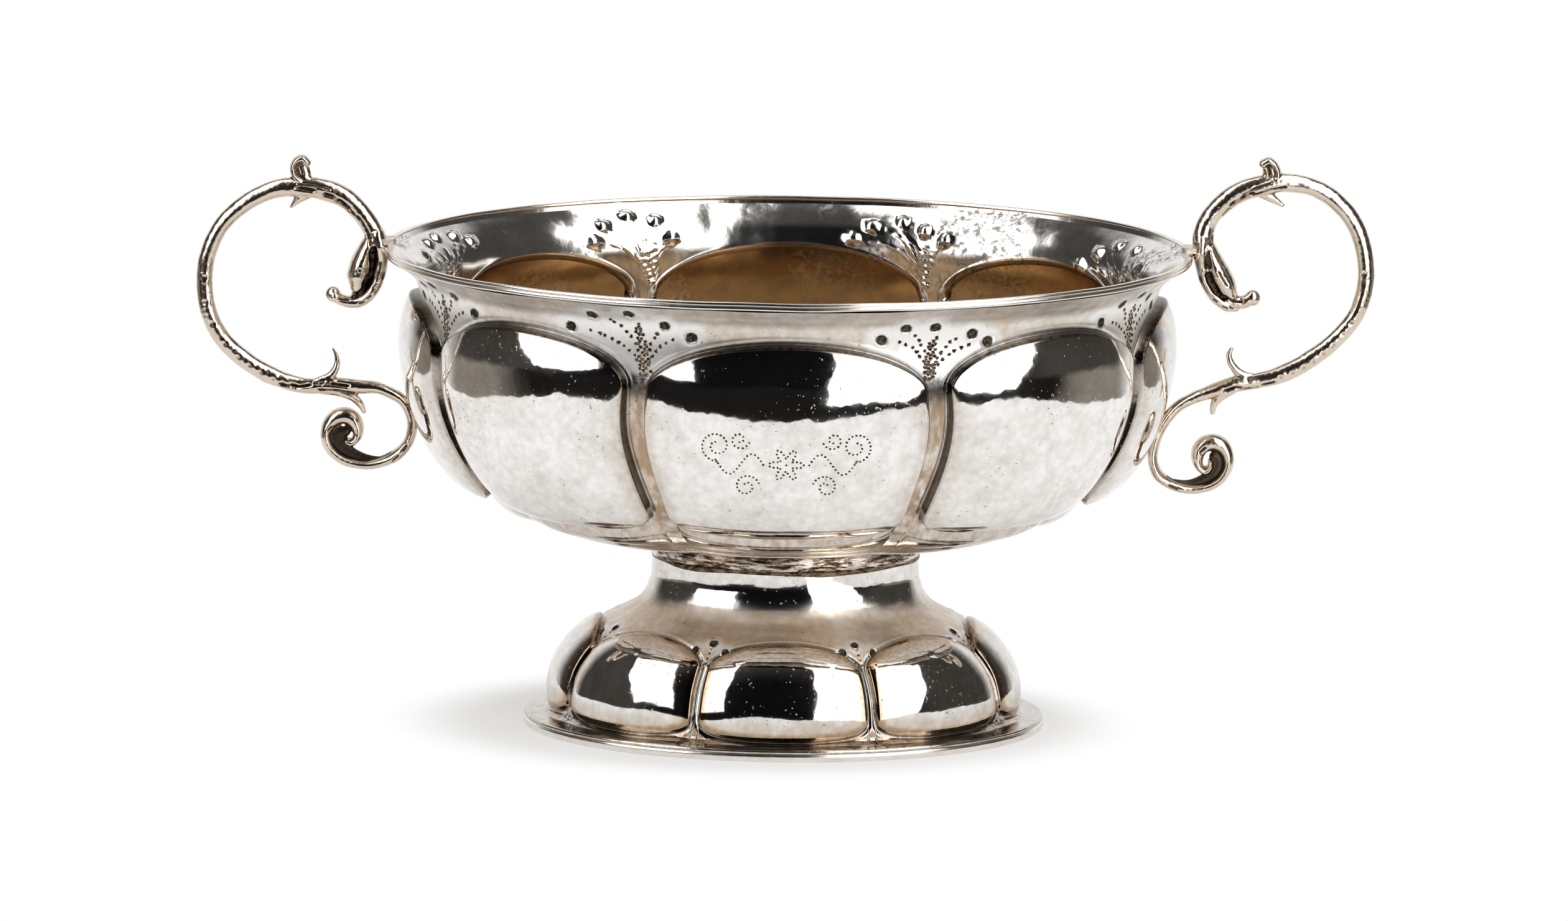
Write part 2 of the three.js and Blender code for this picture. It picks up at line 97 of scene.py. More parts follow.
# Small tools
def lerp(a, b, t):
    """a + (b - a) t."""
    return a + (b - a) * t


def smooth(edge0, edge1, x):
    """3t^2 - 2t^3 of t = (x - edge0) / (edge1 - edge0), held between 0 and 1."""
    t = np.clip((x - edge0) / (edge1 - edge0), 0, 1)
    return t * t * (3 - 2 * t)


def bell(distance, width):
    """exp(-(distance / width)^2)."""
    return np.exp(-((distance / width) ** 2))


def unit(v):
    """v / |v|."""
    return v / np.maximum(np.linalg.norm(v, axis=-1, keepdims=True), 1e-12)


def nearest(points, cloud):
    """Index of the cloud's point nearest to each of the points, in lots that fit in memory."""
    size = max(1, 2_000_000 // len(cloud))
    found = []
    for lot in np.array_split(points, max(1, len(points) // size)):
        found.append(((lot[:, None] - cloud) ** 2).sum(axis=2).argmin(axis=1))
    return np.concatenate(found)


def waves(points, size, seed, count=14):
    """Slow unevenness of hand work: the mean of sines sin(k.p + phase) whose wavelengths are
    size mm, give or take a third, in directions from a seeded draw."""
    rng = np.random.default_rng(seed)
    directions = unit(rng.normal(size=(count, 3)))
    rates = 2 * math.pi / (size * rng.uniform(0.7, 1.4, count))
    phases = rng.uniform(0, 2 * math.pi, count)
    total = np.zeros(points.shape[:-1])
    for direction, rate, phase in zip(directions, rates, phases):
        total += np.sin(points @ direction * rate + phase)
    return total / math.sqrt(count)


def uniform_spline(points, per_span):
    """Uniform Catmull-Rom line, end points doubled, as the CAD's flare and dome:
    p = (2b + (c-a)t + (2a-5b+4c-d)t^2 + (3b-a-3c+d)t^3) / 2 on each span b to c."""
    p = np.asarray(points, float)
    p = np.vstack([p[:1], p, p[-1:]])
    t = np.linspace(0, 1, per_span, endpoint=False)[:, None]
    spans = []
    for a, b, c, d in zip(p, p[1:], p[2:], p[3:]):
        cubic = (3 * b - a - 3 * c + d) * t**3
        spans.append((2 * b + (c - a) * t + (2 * a - 5 * b + 4 * c - d) * t**2 + cubic) / 2)
    return np.vstack([*spans, p[-1:]])


def centripetal_spline(points, places):
    """Centripetal Catmull-Rom through points at places 0..1, knots by root of chord length."""
    p = np.asarray(points, float)
    n = len(p) - 1
    p = np.vstack([2 * p[:1] - p[1:2], p, 2 * p[-1:] - p[-2:-1]])
    gap = np.maximum(np.linalg.norm(np.diff(p, axis=0), axis=1) ** 0.5, 1e-6)[:, None]
    where = np.clip(np.asarray(places) * n, 0, n - 1e-9)
    i = where.astype(int)
    t = (where - i)[:, None]
    a, b, c, d = p[i], p[i + 1], p[i + 2], p[i + 3]
    g0, g1, g2 = gap[i], gap[i + 1], gap[i + 2]
    m1 = ((b - a) / g0 - (c - a) / (g0 + g1) + (c - b) / g1) * g1
    m2 = ((c - b) / g1 - (d - b) / (g1 + g2) + (d - c) / g2) * g1
    return b + m1 * t + (-3 * b + 3 * c - 2 * m1 - m2) * t**2 + (2 * b - 2 * c + m1 + m2) * t**3


def grid_quads(rows, columns, closed_columns, closed_rows=False):
    """Index quads of a grid. Row i+1 lies below row i and column j+1 lies anticlockwise of
    column j seen from above, so the faces look outwards."""
    i = np.arange(rows if closed_rows else rows - 1)[:, None]
    j = np.arange(columns if closed_columns else columns - 1)[None, :]
    i2, j2 = (i + 1) % rows, (j + 1) % columns
    corners = [i * columns + j, i2 * columns + j, i2 * columns + j2, i * columns + j2]
    return np.stack(np.broadcast_arrays(*corners), -1).reshape(-1, 4)


def make_piece(name, points, quads, tris=None, values=None, normals=None):
    """A smooth mesh in metres from points in mm, with named point values for the shader."""
    mesh = bpy.data.meshes.new(name)
    quads = np.asarray(quads, np.int32).reshape(-1, 4)
    tris = np.zeros((0, 3), np.int32) if tris is None else np.asarray(tris, np.int32)
    corners = np.concatenate([quads.ravel(), tris.ravel()])
    starts = np.concatenate(
        [np.arange(len(quads)) * 4, len(quads) * 4 + np.arange(len(tris)) * 3]
    )
    mesh.vertices.add(len(points))
    mesh.vertices.foreach_set("co", (np.asarray(points) * MM).astype(np.float32).ravel())
    mesh.loops.add(len(corners))
    mesh.loops.foreach_set("vertex_index", corners)
    mesh.polygons.add(len(starts))
    mesh.polygons.foreach_set("loop_start", starts.astype(np.int32))
    mesh.polygons.foreach_set("use_smooth", np.ones(len(starts), bool))
    mesh.update(calc_edges=True)
    mesh.validate()
    for key, value in (values or {}).items():
        attribute = mesh.attributes.new(key, "FLOAT", "POINT")
        attribute.data.foreach_set("value", np.asarray(value, np.float32).ravel())
    if normals is not None:
        mesh.normals_split_custom_set_from_vertices(np.asarray(normals, float).reshape(-1, 3))
    piece = bpy.data.objects.new(name, mesh)
    bpy.context.scene.collection.objects.link(piece)
    return piece


def fit(piece, node, material):
    """Rides on the body, stands for its CAD node, which it hides, and takes the given finish."""
    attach(piece, "root")
    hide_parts(node)
    piece.data.materials.append(material)
    return piece


# Lobed skins
def oval_point(half, height, angle):
    """(half cos a, ratio half sin a, height)."""
    return np.stack(
        np.broadcast_arrays(half * np.cos(angle), RATIO * half * np.sin(angle), height), -1
    )


def oval_out(angle):
    """Unit normal of the oval, (ratio cos a, sin a) brought to length 1."""
    flat = np.stack([RATIO * np.cos(angle), np.sin(angle), np.zeros_like(angle)], -1)
    return unit(flat)


class Meridian:
    """A line from the top down as [half, height] points, measured by arc length."""

    def __init__(self, points):
        self.points = np.asarray(points, float)
        step = np.linalg.norm(np.diff(self.points, axis=0), axis=1)
        self.arcs = np.concatenate([[0], np.cumsum(step)])
        self.length = self.arcs[-1]
        slope = np.gradient(self.points, self.arcs, axis=0)
        self.outs = unit(np.stack([-slope[:, 1], slope[:, 0]], -1))

    def arc_at(self, height):
        """The arc length from the top down to a height."""
        return np.interp(-np.asarray(height), -self.points[:, 1], self.arcs)

    def place(self, arc, relief=0.0):
        """The point at an arc length, moved out square to the line by relief."""
        half, height, out, up = (
            np.interp(arc, self.arcs, column) for column in (*self.points.T, *self.outs.T)
        )
        size = np.hypot(out, up)
        return half + relief * out / size, height + relief * up / size


def eased(line, height, reach, pitch=0.2):
    """A line with the bend near a height rounded: points each pitch mm, moved towards the mean of
    reach mm either way by exp(-((z - height) / reach)^2)."""
    step = np.linalg.norm(np.diff(line, axis=0), axis=1)
    arcs = np.concatenate([[0], np.cumsum(step)])
    even = np.linspace(0, arcs[-1], int(arcs[-1] / pitch))
    fine = np.stack([np.interp(even, arcs, column) for column in line.T], -1)
    window = 2 * int(reach / pitch) + 1
    ramp = np.bartlett(window + 2)[1:-1]
    soft = np.pad(fine, ((window, window), (0, 0)), "edge")
    soft = np.stack([np.convolve(c, ramp / ramp.sum(), "same") for c in soft.T], -1)
    soft = soft[window:-window]
    return fine + bell(fine[:, 1:2] - height, reach) * (soft - fine)


def bowl_meridian():
    """Flare from the lip to the throat, then half = H cos(a)^(2/4.3), fall = sin(a)^(2/2.2),
    and the underside raised by rise exp(-((half - its half) / reach)^2)."""
    bend = lerp(THROAT_HALF, LIP_HALF, 0.38)
    flare = uniform_spline(
        [
            [SHELL_TOP_HALF, SHELL_TOP],
            [bend, LIP_HEIGHT - THROAT_DROP * 0.62],
            [THROAT_HALF, LIP_HEIGHT - THROAT_DROP],
            [BODY_HALF, BODY_TOP],
        ],
        24,
    )
    angle = np.linspace(0, math.acos((NECK_HALF / BODY_HALF) ** (BASE_POWER / 2)), 500)[1:-1]
    half = BODY_HALF * np.cos(angle) ** (2 / BASE_POWER)
    height = BODY_TOP - (BODY_TOP - BODY_BASE) * np.sin(angle) ** (2 / SIDE_POWER)
    height += UNDERSIDE_RISE * bell(half - UNDERSIDE_HALF, UNDERSIDE_REACH)
    keep = height > NECK_HEIGHT + 0.3
    belly = np.stack([half[keep], height[keep]], -1)
    line = np.vstack([flare, belly, [[NECK_HALF, NECK_HEIGHT]]])
    return Meridian(eased(line, BODY_TOP, 4.0))


def foot_meridian():
    """Stem and dome through shares [out, up] of the way, then a nearly flat flange."""
    shares = [
        [0, 1], [0.005, 0.89], [0.032, 0.825], [0.07, 0.765], [0.157, 0.7], [0.324, 0.64],
        [0.537, 0.567], [0.755, 0.438], [0.893, 0.318], [0.958, 0.198], [0.99, 0.08], [1, 0.023],
    ]
    points = [
        [lerp(NECK_HALF, DOME_HALF, out), lerp(FLANGE_TOP + FLANGE_FALL, FOOT_TOP, up)]
        for out, up in shares
    ]
    dome = uniform_spline(points, 24)
    root = lerp(DOME_HALF, FLANGE_HALF, 0.3)
    ends = [[root, FLANGE_TOP + FLANGE_FALL / 2], [FLANGE_HALF, FLANGE_TOP]]
    return Meridian(np.vstack([dome, ends]))


def lobe_columns(lobe, across, between):
    """Columns round the body. s runs -1..1 over a lobe and goes on past 1 in the band, where
    it tells how far into the band the column lies: |s| - 1 is the share of half the band."""
    half = math.pi / LOBES - lobe["band"]
    u = np.linspace(-1, 1, across + 1)
    place = 0.5 * np.sin(u * math.pi / 2) + 0.5 * u
    band = np.linspace(0, 2, between + 1)[1:-1]
    s_values, angles = [], []
    for k in range(LOBES):
        centre = 2 * math.pi * k / LOBES
        s_values += [place, np.where(band <= 1, 1 + band, band - 3)]
        angles += [centre + place * half, centre + half + band * lobe["band"]]
    return np.concatenate(s_values), np.concatenate(angles)


def pillow(across, down):
    """(1 - |across|^2.4)^0.8 (1 - |2 down - 1|^3.8), nothing outside the lobe."""
    side = np.clip(1 - np.abs(across) ** 2.4, 0, None) ** 0.8
    return side * np.clip(1 - np.abs(2 * down - 1) ** 3.8, 0, None)


def bowed(angle, height, lobe):
    """Valleys bow towards the handles at mid height: a - bow sin 2a exp(-((z - z0) / r)^2)."""
    return angle - lobe["bow"] * np.sin(2 * angle) * bell(height - BOW_HEIGHT, BOW_REACH)


def lobe_span(line, lobe, s):
    """Arc lengths where a lobe's arch, spring + (crown - spring) (1 - t^2)^.5, and its lower
    edge, base + base_rise (1 - (1 - t^3)^(1/3)), lie at a place t across."""
    t = np.clip(np.abs(s), 0, 1)
    arch = lobe["spring"] + (lobe["crown"] - lobe["spring"]) * np.sqrt(1 - t * t)
    corner = 1 - np.cbrt(1 - t**3)
    return line.arc_at(arch), line.arc_at(lobe["base"] + lobe["base_rise"] * corner)


def dense_ends(count, share):
    """0..1 in count steps, closer at both ends: share t + (1-share)(1-cos pi t)/2."""
    t = np.linspace(0, 1, count + 1)
    return share * t + (1 - share) * (1 - np.cos(math.pi * t)) / 2


def grid_normals(p, flip=False):
    """Normals of a grid that is closed round its columns, from central differences."""
    along = np.gradient(p, axis=0)
    around = np.roll(p, -1, axis=1) - np.roll(p, 1, axis=1)
    out = unit(np.cross(along, around))
    return -out if flip else out


def edge_distance(points, line, lobe, k):
    """Distance in mm from the points of lobe k's sector to the lobe's outline, a closed line of
    short spans: the less of the distances to the two spans that meet at its nearest point."""
    half = math.pi / LOBES - lobe["band"]
    s = np.sin(np.linspace(-math.pi / 2, math.pi / 2, 240))
    top, base = lobe_span(line, lobe, s)
    side = lerp(top[0], base[0], np.linspace(0, 1, 160)[1:-1])
    arc = np.concatenate([top, side, base[::-1], side[::-1]])
    across = np.concatenate([s, np.ones(len(side)), s[::-1], -np.ones(len(side))])
    radius, height = line.place(arc)
    turn = bowed(2 * math.pi * k / LOBES + across * half, height, lobe)
    outline = oval_point(radius, height, turn)
    flat = points.reshape(-1, 3)
    corner = nearest(flat, outline)
    start = outline[corner]
    near = np.full(len(flat), np.inf)
    for step in (-1, 1):
        span = outline[(corner + step) % len(outline)] - start
        share = ((flat - start) * span).sum(axis=1) / np.maximum((span**2).sum(axis=1), 1e-9)
        foot = start + np.clip(share, 0, 1)[:, None] * span
        near = np.minimum(near, np.linalg.norm(flat - foot, axis=1))
    return near.reshape(points.shape[:-1])


def lobed_skin(line, lobe, across, between, above, inside, below):
    """Ground and lobes without fine work. Rows run from the top down and follow the lobes'
    edges: arc = top f above, top + (base - top) t inside, base + (end - base) f below. A lobe
    rises by a pillow and by a shoulder along its outline, a quarter round
    h (1 - (1 - edge / reach)^2)^.5 of the distance from the outline."""
    s, angle = lobe_columns(lobe, across, between)
    top, base = lobe_span(line, lobe, s)
    arc = np.vstack(
        [
            np.outer(above, top),
            top + np.outer(inside, base - top),
            base + np.outer(below, line.length - base),
        ]
    )
    down = np.concatenate([np.zeros(len(above)), inside, np.ones(len(below))])[:, None]
    beyond = np.concatenate([np.zeros(len(above) + len(inside)), below])[:, None]
    radius, height = line.place(arc)
    turn = bowed(angle[None], height, lobe)
    ground = oval_point(radius, height, turn)
    in_lobe = (pillow(s[None], down) > 0) * 1.0
    edge = np.zeros(arc.shape)
    per = len(s) // LOBES
    for k in range(LOBES):
        first = k * per - (between // 2)
        columns = np.arange(first, first + per) % len(s)
        edge[:, columns] = edge_distance(ground[:, columns], line, lobe, k)
    inward = np.clip(1 - edge / lobe["reach"], 0, 1)
    shoulder = lobe["shoulder"] * np.sqrt(1 - inward**2) * in_lobe
    radius, height = line.place(arc, lobe["relief"] * pillow(s[None], down) + shoulder)
    grid = oval_point(radius, height, turn)
    return dict(grid=grid, s=s, angle=angle, beyond=beyond, edge=edge, in_lobe=in_lobe)


def skin_rows(skin, first, last, step):
    """Rows first to last of a skin, every step-th column, as points, quads, the point values
    that its finish reads, and normals."""
    cut = slice(first, last + 1), slice(None, None, step)
    points = skin["final"][cut]
    read = ("ground_mask", "tarnish_and_painted_reflection", "halo", "border")
    values = {key: skin[key][cut] for key in read if key in skin}
    return points.reshape(-1, 3), grid_quads(*points.shape[:2], True), values, skin["normals"][cut]


def with_pole(points, values, normals, height):
    """The last ring closed by a fan to a pole on the axis: points, fan, values and normals."""
    columns = normals.shape[1]
    j = len(points) - columns + np.arange(columns)
    fan = np.stack([j, np.full(columns, len(points)), np.append(j[1:], j[0])], -1)
    points = np.vstack([points, [[0, 0, height]]])
    up = unit(normals[-1].mean(axis=0))
    normals = np.vstack([normals.reshape(-1, 3), up[None]])
    values = {key: np.append(value.ravel(), value.ravel()[-1]) for key, value in values.items()}
    return points, fan, values, normals


def stamp(points, centres, radius, depth, burr=0.12):
    """Round punch marks: -depth (1 - (d/r)^2)^1.2 within r of a centre, and a low burr
    burr depth exp(-((d - 1.15 r) / (0.3 r))^2) round it. Also how far inside a mark, 0..1."""
    flat = points.reshape(-1, 3)
    height = np.zeros(len(flat))
    inside = np.zeros(len(flat))
    for centre in centres:
        near = np.flatnonzero(np.abs(flat - centre).max(axis=1) < 2 * radius)
        d = np.linalg.norm(flat[near] - centre, axis=1) / radius
        height[near] -= depth * np.clip(1 - d**2, 0, None) ** 1.2
        height[near] += burr * depth * bell(d - 1.15, 0.3)
        inside[near] = np.maximum(inside[near], smooth(1.25, 0.7, d))
    return height.reshape(points.shape[:-1]), inside.reshape(points.shape[:-1])


# Fans of five punched marks over the valleys: [mm along the oval from the valley, height]
FANS = {
    22.5: [(-5, 99), (1, 102), (7.5, 102), (12, 100), (16, 97)],
    67.5: [(-4, 98.5), (1, 100), (6.5, 101.5), (13, 100.5), (17, 98)],
    112.5: [(-5, 98), (-2, 101.5), (4, 102.5), (10.5, 101), (13.5, 98)],
    157.5: [(-10.5, 101), (-7, 102.5), (-1, 103), (3.5, 102.5), (10, 101)],
    202.5: [(-13, 97.5), (-7.5, 101), (0, 102), (6.5, 100.5), (12, 97.5)],
    247.5: [(-17.5, 98), (-11, 101.5), (-2, 102.5), (5, 100), (10.5, 97.5)],
    292.5: [(-11, 97.5), (-6, 100), (0.5, 100), (9.5, 98), (13.5, 96)],
    337.5: [(-12, 97), (-6.5, 100.5), (0, 101.5), (7, 100), (13, 97)],
}
FAN_FOOT = 88.0  # height where the stems of a fan meet
MIDDLE, MIDDLE_LANES = 2, (-1.1, -0.35, 0.4, 1.1)  # the middle stem is four rows of dots wide
MARK_RADIUS, MARK_DEPTH = 1.3, 0.6
DOT_RADIUS, DOT_PITCH = 0.38, 1.6
DOT_SLIP, DOT_STRAY = 0.14, 0.16  # along the row as a share of the pitch, and across it in mm


def on_ground(line, half, valley, offset, height):
    """The point of the ground offset mm along the oval from a valley, at a height."""
    per_angle = half * math.hypot(math.sin(valley), RATIO * math.cos(valley))
    radius, level = line.place(line.arc_at(height))
    return oval_point(radius, level, np.asarray(valley + np.asarray(offset) / per_angle))


def fan_places(line):
    """Centres of the big marks, and of the pricked dots on the stems under them. At share t of
    its way a stem lies offset t^1.7 along the oval. An upright one rises evenly, a leaning one
    by sin(pi t / 2), so that the stems of a fan part like a fountain."""
    rng = np.random.default_rng(5)
    marks, dots = [], []
    for degrees, fan in FANS.items():
        valley = math.radians(degrees)
        for place, (offset, height) in enumerate(fan):
            marks.append(on_ground(line, BODY_HALF, valley, offset, height))
            length = math.hypot(offset, height - FAN_FOOT)
            count = int(length / DOT_PITCH)
            leaning = 0 if place == MIDDLE else min(1, abs(offset) / 10)
            for lane in MIDDLE_LANES if place == MIDDLE else (0,):
                slip = rng.uniform(-DOT_SLIP, DOT_SLIP, count)
                t = np.clip((np.arange(count) + slip + 0.7 * lane) / count, 0, 1)
                t = lerp(0.03, 1 - 2.0 / length, t)
                along = offset * t**1.7 + lane * (1 - 0.4 * t) + rng.normal(0, DOT_STRAY, count)
                up = lerp(FAN_FOOT, height, lerp(t, np.sin(t * math.pi / 2), leaning))
                dots.append(on_ground(line, BODY_HALF, valley, along, up).reshape(-1, 3))
    return np.array(marks), np.vstack(dots)


def set_on(points, skin):
    """Points moved along the skin's nearest normal onto it, and those normals."""
    grid = skin["plain"].reshape(-1, 3)
    near = nearest(points, grid)
    outs = grid_normals(skin["plain"]).reshape(-1, 3)[near]
    rise = ((points - grid[near]) * outs).sum(axis=1, keepdims=True)
    return points - outs * rise, outs


def craters(name, centres, outs, radius, rings, sides, uneven, seed):
    """Punched marks as small dishes on a skin. rings are [share of the radius, height, tarnish]
    from the burr to the middle; the outline is uneven by a share of the radius."""
    rng = np.random.default_rng(seed)
    level = unit(np.cross(outs, [0.0, 0.0, 1.0]))
    steep = np.cross(outs, level)
    share, height, dark = np.array(rings).T
    count, rows = len(centres), len(rings) - 1
    angle = np.linspace(0, 2 * math.pi, sides, endpoint=False)
    reach = 1 + uneven * rng.normal(size=(count, 1, sides))
    reach = reach * rng.uniform(0.88, 1.1, (count, 1, 1)) * radius * share[:-1, None]
    rise = height[:-1, None] * rng.uniform(0.7, 1.2, reach.shape)
    points = (
        centres[:, None, None]
        + level[:, None, None] * (reach * np.cos(angle))[..., None]
        + steep[:, None, None] * (reach * np.sin(angle))[..., None]
        + outs[:, None, None] * rise[..., None]
    )
    middles = centres + outs * height[-1]
    each = rows * sides + 1
    points = np.concatenate([points.reshape(count, -1, 3), middles[:, None]], axis=1)
    tarnish_and_painted_reflection = np.append(np.repeat(dark[:-1], sides), dark[-1])
    shift = (np.arange(count) * each)[:, None, None]
    j = np.arange(sides)
    start = (rows - 1) * sides
    fan = np.stack([start + j, start + (j + 1) % sides, np.full(sides, each - 1)], -1)
    quads = grid_quads(rows, sides, True)[:, ::-1]
    return make_piece(
        name,
        points.reshape(-1, 3),
        (quads + shift).reshape(-1, 4),
        (fan + shift).reshape(-1, 3),
        dict(tarnish_and_painted_reflection=np.tile(tarnish_and_painted_reflection, count)),
    )


# Rings of a mark and of a pricked dot: [share of the radius, height, tarnish]
MARK_RINGS = [
    [1.2, -0.06, 0.1], [1.0, 0.1, 0.3], [0.82, -0.06, 1], [0.5, -0.14, 0.8], [0.0, -0.14, 1]
]
DOT_RINGS = [[1.5, -0.05, 0.1], [1.1, 0.07, 0.3], [0.75, 0.03, 1], [0.0, 0.02, 1]]


# Pricked ornament
ORNAMENT_CENTRE = np.array([0.0, 70.2])  # x and z of the flower's middle
ORNAMENT_PITCH = 0.85
# Spirals on the right stem: [x, z, start and end in half turns, radius at the start]
SPIRALS = [(15.2, 4.0, -0.5, 2.4, 3.6), (8.6, -5.2, 0.9, -1.7, 2.8), (10.2, 5.6, -0.9, 1.5, 2.2)]


def tendrils():
    """A pricked ornament for the front lobe, as [x, z] places: a six-petalled flower, r = 2.6 +
    1.2 cos 6a, between two mirrored stems z = 2.4 sin 2.1 pi t. Each stem carries three
    spirals, whose radius falls evenly to a quarter."""
    t = np.linspace(0, 1, 400)
    turn = 2 * math.pi * t
    petals = 2.6 + 1.2 * np.cos(6 * turn)
    lines = [np.stack([petals * np.cos(turn), petals * np.sin(turn)], -1)]
    for way in (-1, 1):
        stem = np.stack([way * lerp(5.0, 15.4, t), 2.4 * np.sin(2.1 * math.pi * t)], -1)
        lines.append(stem)
        for x, z, start, end, wide in SPIRALS:
            around = lerp(start, end, t) * math.pi
            radius = lerp(wide, 0.25 * wide, t)
            x_places = way * (x + radius * np.cos(around))
            lines.append(np.stack([x_places, z + radius * np.sin(around)], -1))
    dots = [[0.0, 0.0]]
    for line in lines:
        steps = np.linalg.norm(np.diff(line, axis=0), axis=1)
        arcs = np.concatenate([[0], np.cumsum(steps)])
        even = np.linspace(0, arcs[-1], int(arcs[-1] / ORNAMENT_PITCH))
        dots += np.stack([np.interp(even, arcs, c) for c in line.T], -1).tolist()
    return np.array(dots) + ORNAMENT_CENTRE


def on_front(places, skin):
    """Points of the front of the skin at the given [x, z], each in the plane of its nearest grid
    point, and their normals."""
    front = skin["final"][..., 1].ravel() < 0
    grid = skin["final"].reshape(-1, 3)[front]
    near = nearest(places, grid[:, [0, 2]])
    outs = skin["normals"].reshape(-1, 3)[front][near]
    aside = ((places - grid[near][:, [0, 2]]) * outs[:, [0, 2]]).sum(axis=1)
    y = grid[near, 1] - aside / outs[:, 1]
    return np.stack([places[:, 0], y, places[:, 1]], -1), outs


# Bowl
def roll(s, beyond, height, start, width):
    """A roll under a lobe: height (1 - |s|^2.6)^0.7 sin(pi b)^0.8, where b is the share of a
    stretch of the given width that starts at start, as shares of the way from lobe to neck."""
    b = np.clip((beyond - start) / width, 0, 1)
    return height * np.clip(1 - np.abs(s) ** 2.6, 0, None) ** 0.7 * np.sin(math.pi * b) ** 0.8


def bowl_skin():
    """The bowl's outer skin from under the lip wire to the neck: lobes, rolls under them, a
    line chased round each lobe, the slow unevenness of the hammer and the punched marks."""
    line = bowl_meridian()
    above = np.linspace(0, 1, 80)[:-1]
    below = np.linspace(0, 1, 37)[1:] ** 1.1
    inside = dense_ends(90, 0.42)
    skin = lobed_skin(line, BOWL_LOBE, 84, 12, above, inside, below)
    s, beyond = skin["s"][None], skin["beyond"]
    rolls = roll(s, beyond, 1.4, 0, 0.3) + roll(s, beyond, 0.5, 0.3, 0.26)
    grid = skin["grid"] + grid_normals(skin["grid"]) * rolls[..., None]
    out = grid_normals(grid)
    marks, dots = fan_places(line)
    pits, pitted = stamp(grid, marks, MARK_RADIUS, MARK_DEPTH)
    edge, in_lobe = skin["edge"], skin["in_lobe"]
    outside = 1 - in_lobe
    chased = -0.2 * bell(edge, 0.35) + 0.08 * bell(edge - 1.2, 0.5) * outside
    wobble = 0.09 * waves(grid, size=30, seed=1) + 0.02 * waves(grid, size=11, seed=2)
    plain = grid + out * (chased + wobble)[..., None]
    final = plain + out * pits[..., None]
    # painted reflection: the shoulders are painted dark, most of all over the spring of the arches,
    # and so is the fork where two arches meet over a valley, in place of the black room that they
    # reflect
    rise = grid[..., 2] - BOWL_LOBE["spring"]
    painted_shoulder_reflection = (0.35 + 0.75 * smooth(-4, 3, rise)) * smooth(1.0, 0.5, edge) * in_lobe
    painted_fork_reflection = 0.95 * bell(rise - 0.2, 2.9) * smooth(3.4, 2.4, edge) * outside
    dark = np.maximum.reduce([0.5 * pitted, painted_shoulder_reflection, painted_fork_reflection, 0.7 * bell(edge, 0.35)])
    return dict(
        plain=plain,
        final=final,
        normals=grid_normals(final),
        ground_mask=np.maximum(outside * smooth(0, 0.8, edge), 0.7 * bell(edge, 0.3)),
        border=smooth(8, 0.5, edge) * in_lobe,
        # this dark share is painted reflection on the shoulders and forks, plus darker punch marks
        # and chased line
        tarnish_and_painted_reflection=np.clip(dark, 0, 1),
        halo=stamp(grid, np.vstack([marks, dots[::3]]), radius=3.4, depth=0.0)[1] * outside,
        base=grid,
        angle=skin["angle"],
        edge=edge,
        marks=marks,
        dots=dots,
        arch_row=len(above),
    )


def bowl_lining(skin):
    """The inside: the outer skin moved in by the wall, with bosses where the marks were punched
    and a soft ridge along the lobes' outlines, and a narrow rim up to the top of the lip."""
    base = skin["base"]
    out = grid_normals(base)
    out[0] = unit(out[0] * [1, 1, 0])
    bosses = stamp(base, skin["marks"], radius=1.8, depth=0.9, burr=0)[0]
    bosses += stamp(base, skin["dots"], radius=0.7, depth=0.12, burr=0)[0]
    ridge = 0.15 * bell(skin["edge"], 0.5)
    wobble = 0.1 * waves(base, size=26, seed=1) + 0.05 * waves(base, size=9, seed=3)
    inner = base - out * (WALL + ridge + wobble - bosses)[..., None]
    reach = np.linspace(1, 0, 7)[:-1, None]
    rim_half = lerp(LIP_HALF - 2.0, LIP_HALF - 1.0, reach)
    rim = oval_point(rim_half, LIP_HEIGHT - 0.15 - 2 * (1 - reach), skin["angle"][None])
    final = np.vstack([rim, inner[1:]])
    stretch = ((len(rim) - 1, 0), (0, 0))
    edge = np.pad(skin["edge"], stretch, "edge")
    return dict(
        final=final,
        normals=grid_normals(final, flip=True),
        ground_mask=np.pad(skin["ground_mask"], stretch, "edge"),
        tarnish_and_painted_reflection=np.clip(0.5 * bell(edge - 0.9, 0.7), 0, 1),
        arch_row=skin["arch_row"] + len(rim) - 1,
    )


# Foot. The flange's edge turns down to the wire: [out past the flange, up from its top]
FLANGE_EDGE = [[0.16, -0.1], [0.26, -0.3], [0.26, -0.55], [0.12, -0.74]]
# Three marks over each valley of the dome: [mm along the oval from the valley, height]
FOOT_FAN = [(-3.6, 21.8), (0, 23.2), (3.6, 21.6)]
FOOT_FAN_FOOT, FOOT_FAN_HALF = 18.6, 44  # height where its stems meet, half length of the oval there


def foot_fan_places(line):
    """Centres of the foot's marks, and of four dots on each straight stem under them."""
    marks, dots = [], []
    stem = np.linspace(0.15, 0.8, 4)
    for k in range(LOBES):
        valley = math.pi * (2 * k + 1) / LOBES
        for offset, height in FOOT_FAN:
            up = lerp(FOOT_FAN_FOOT, height, stem)
            marks.append(on_ground(line, FOOT_FAN_HALF, valley, offset, height))
            dots.append(on_ground(line, FOOT_FAN_HALF, valley, offset * stem, up))
    return np.array(marks), np.vstack(dots)


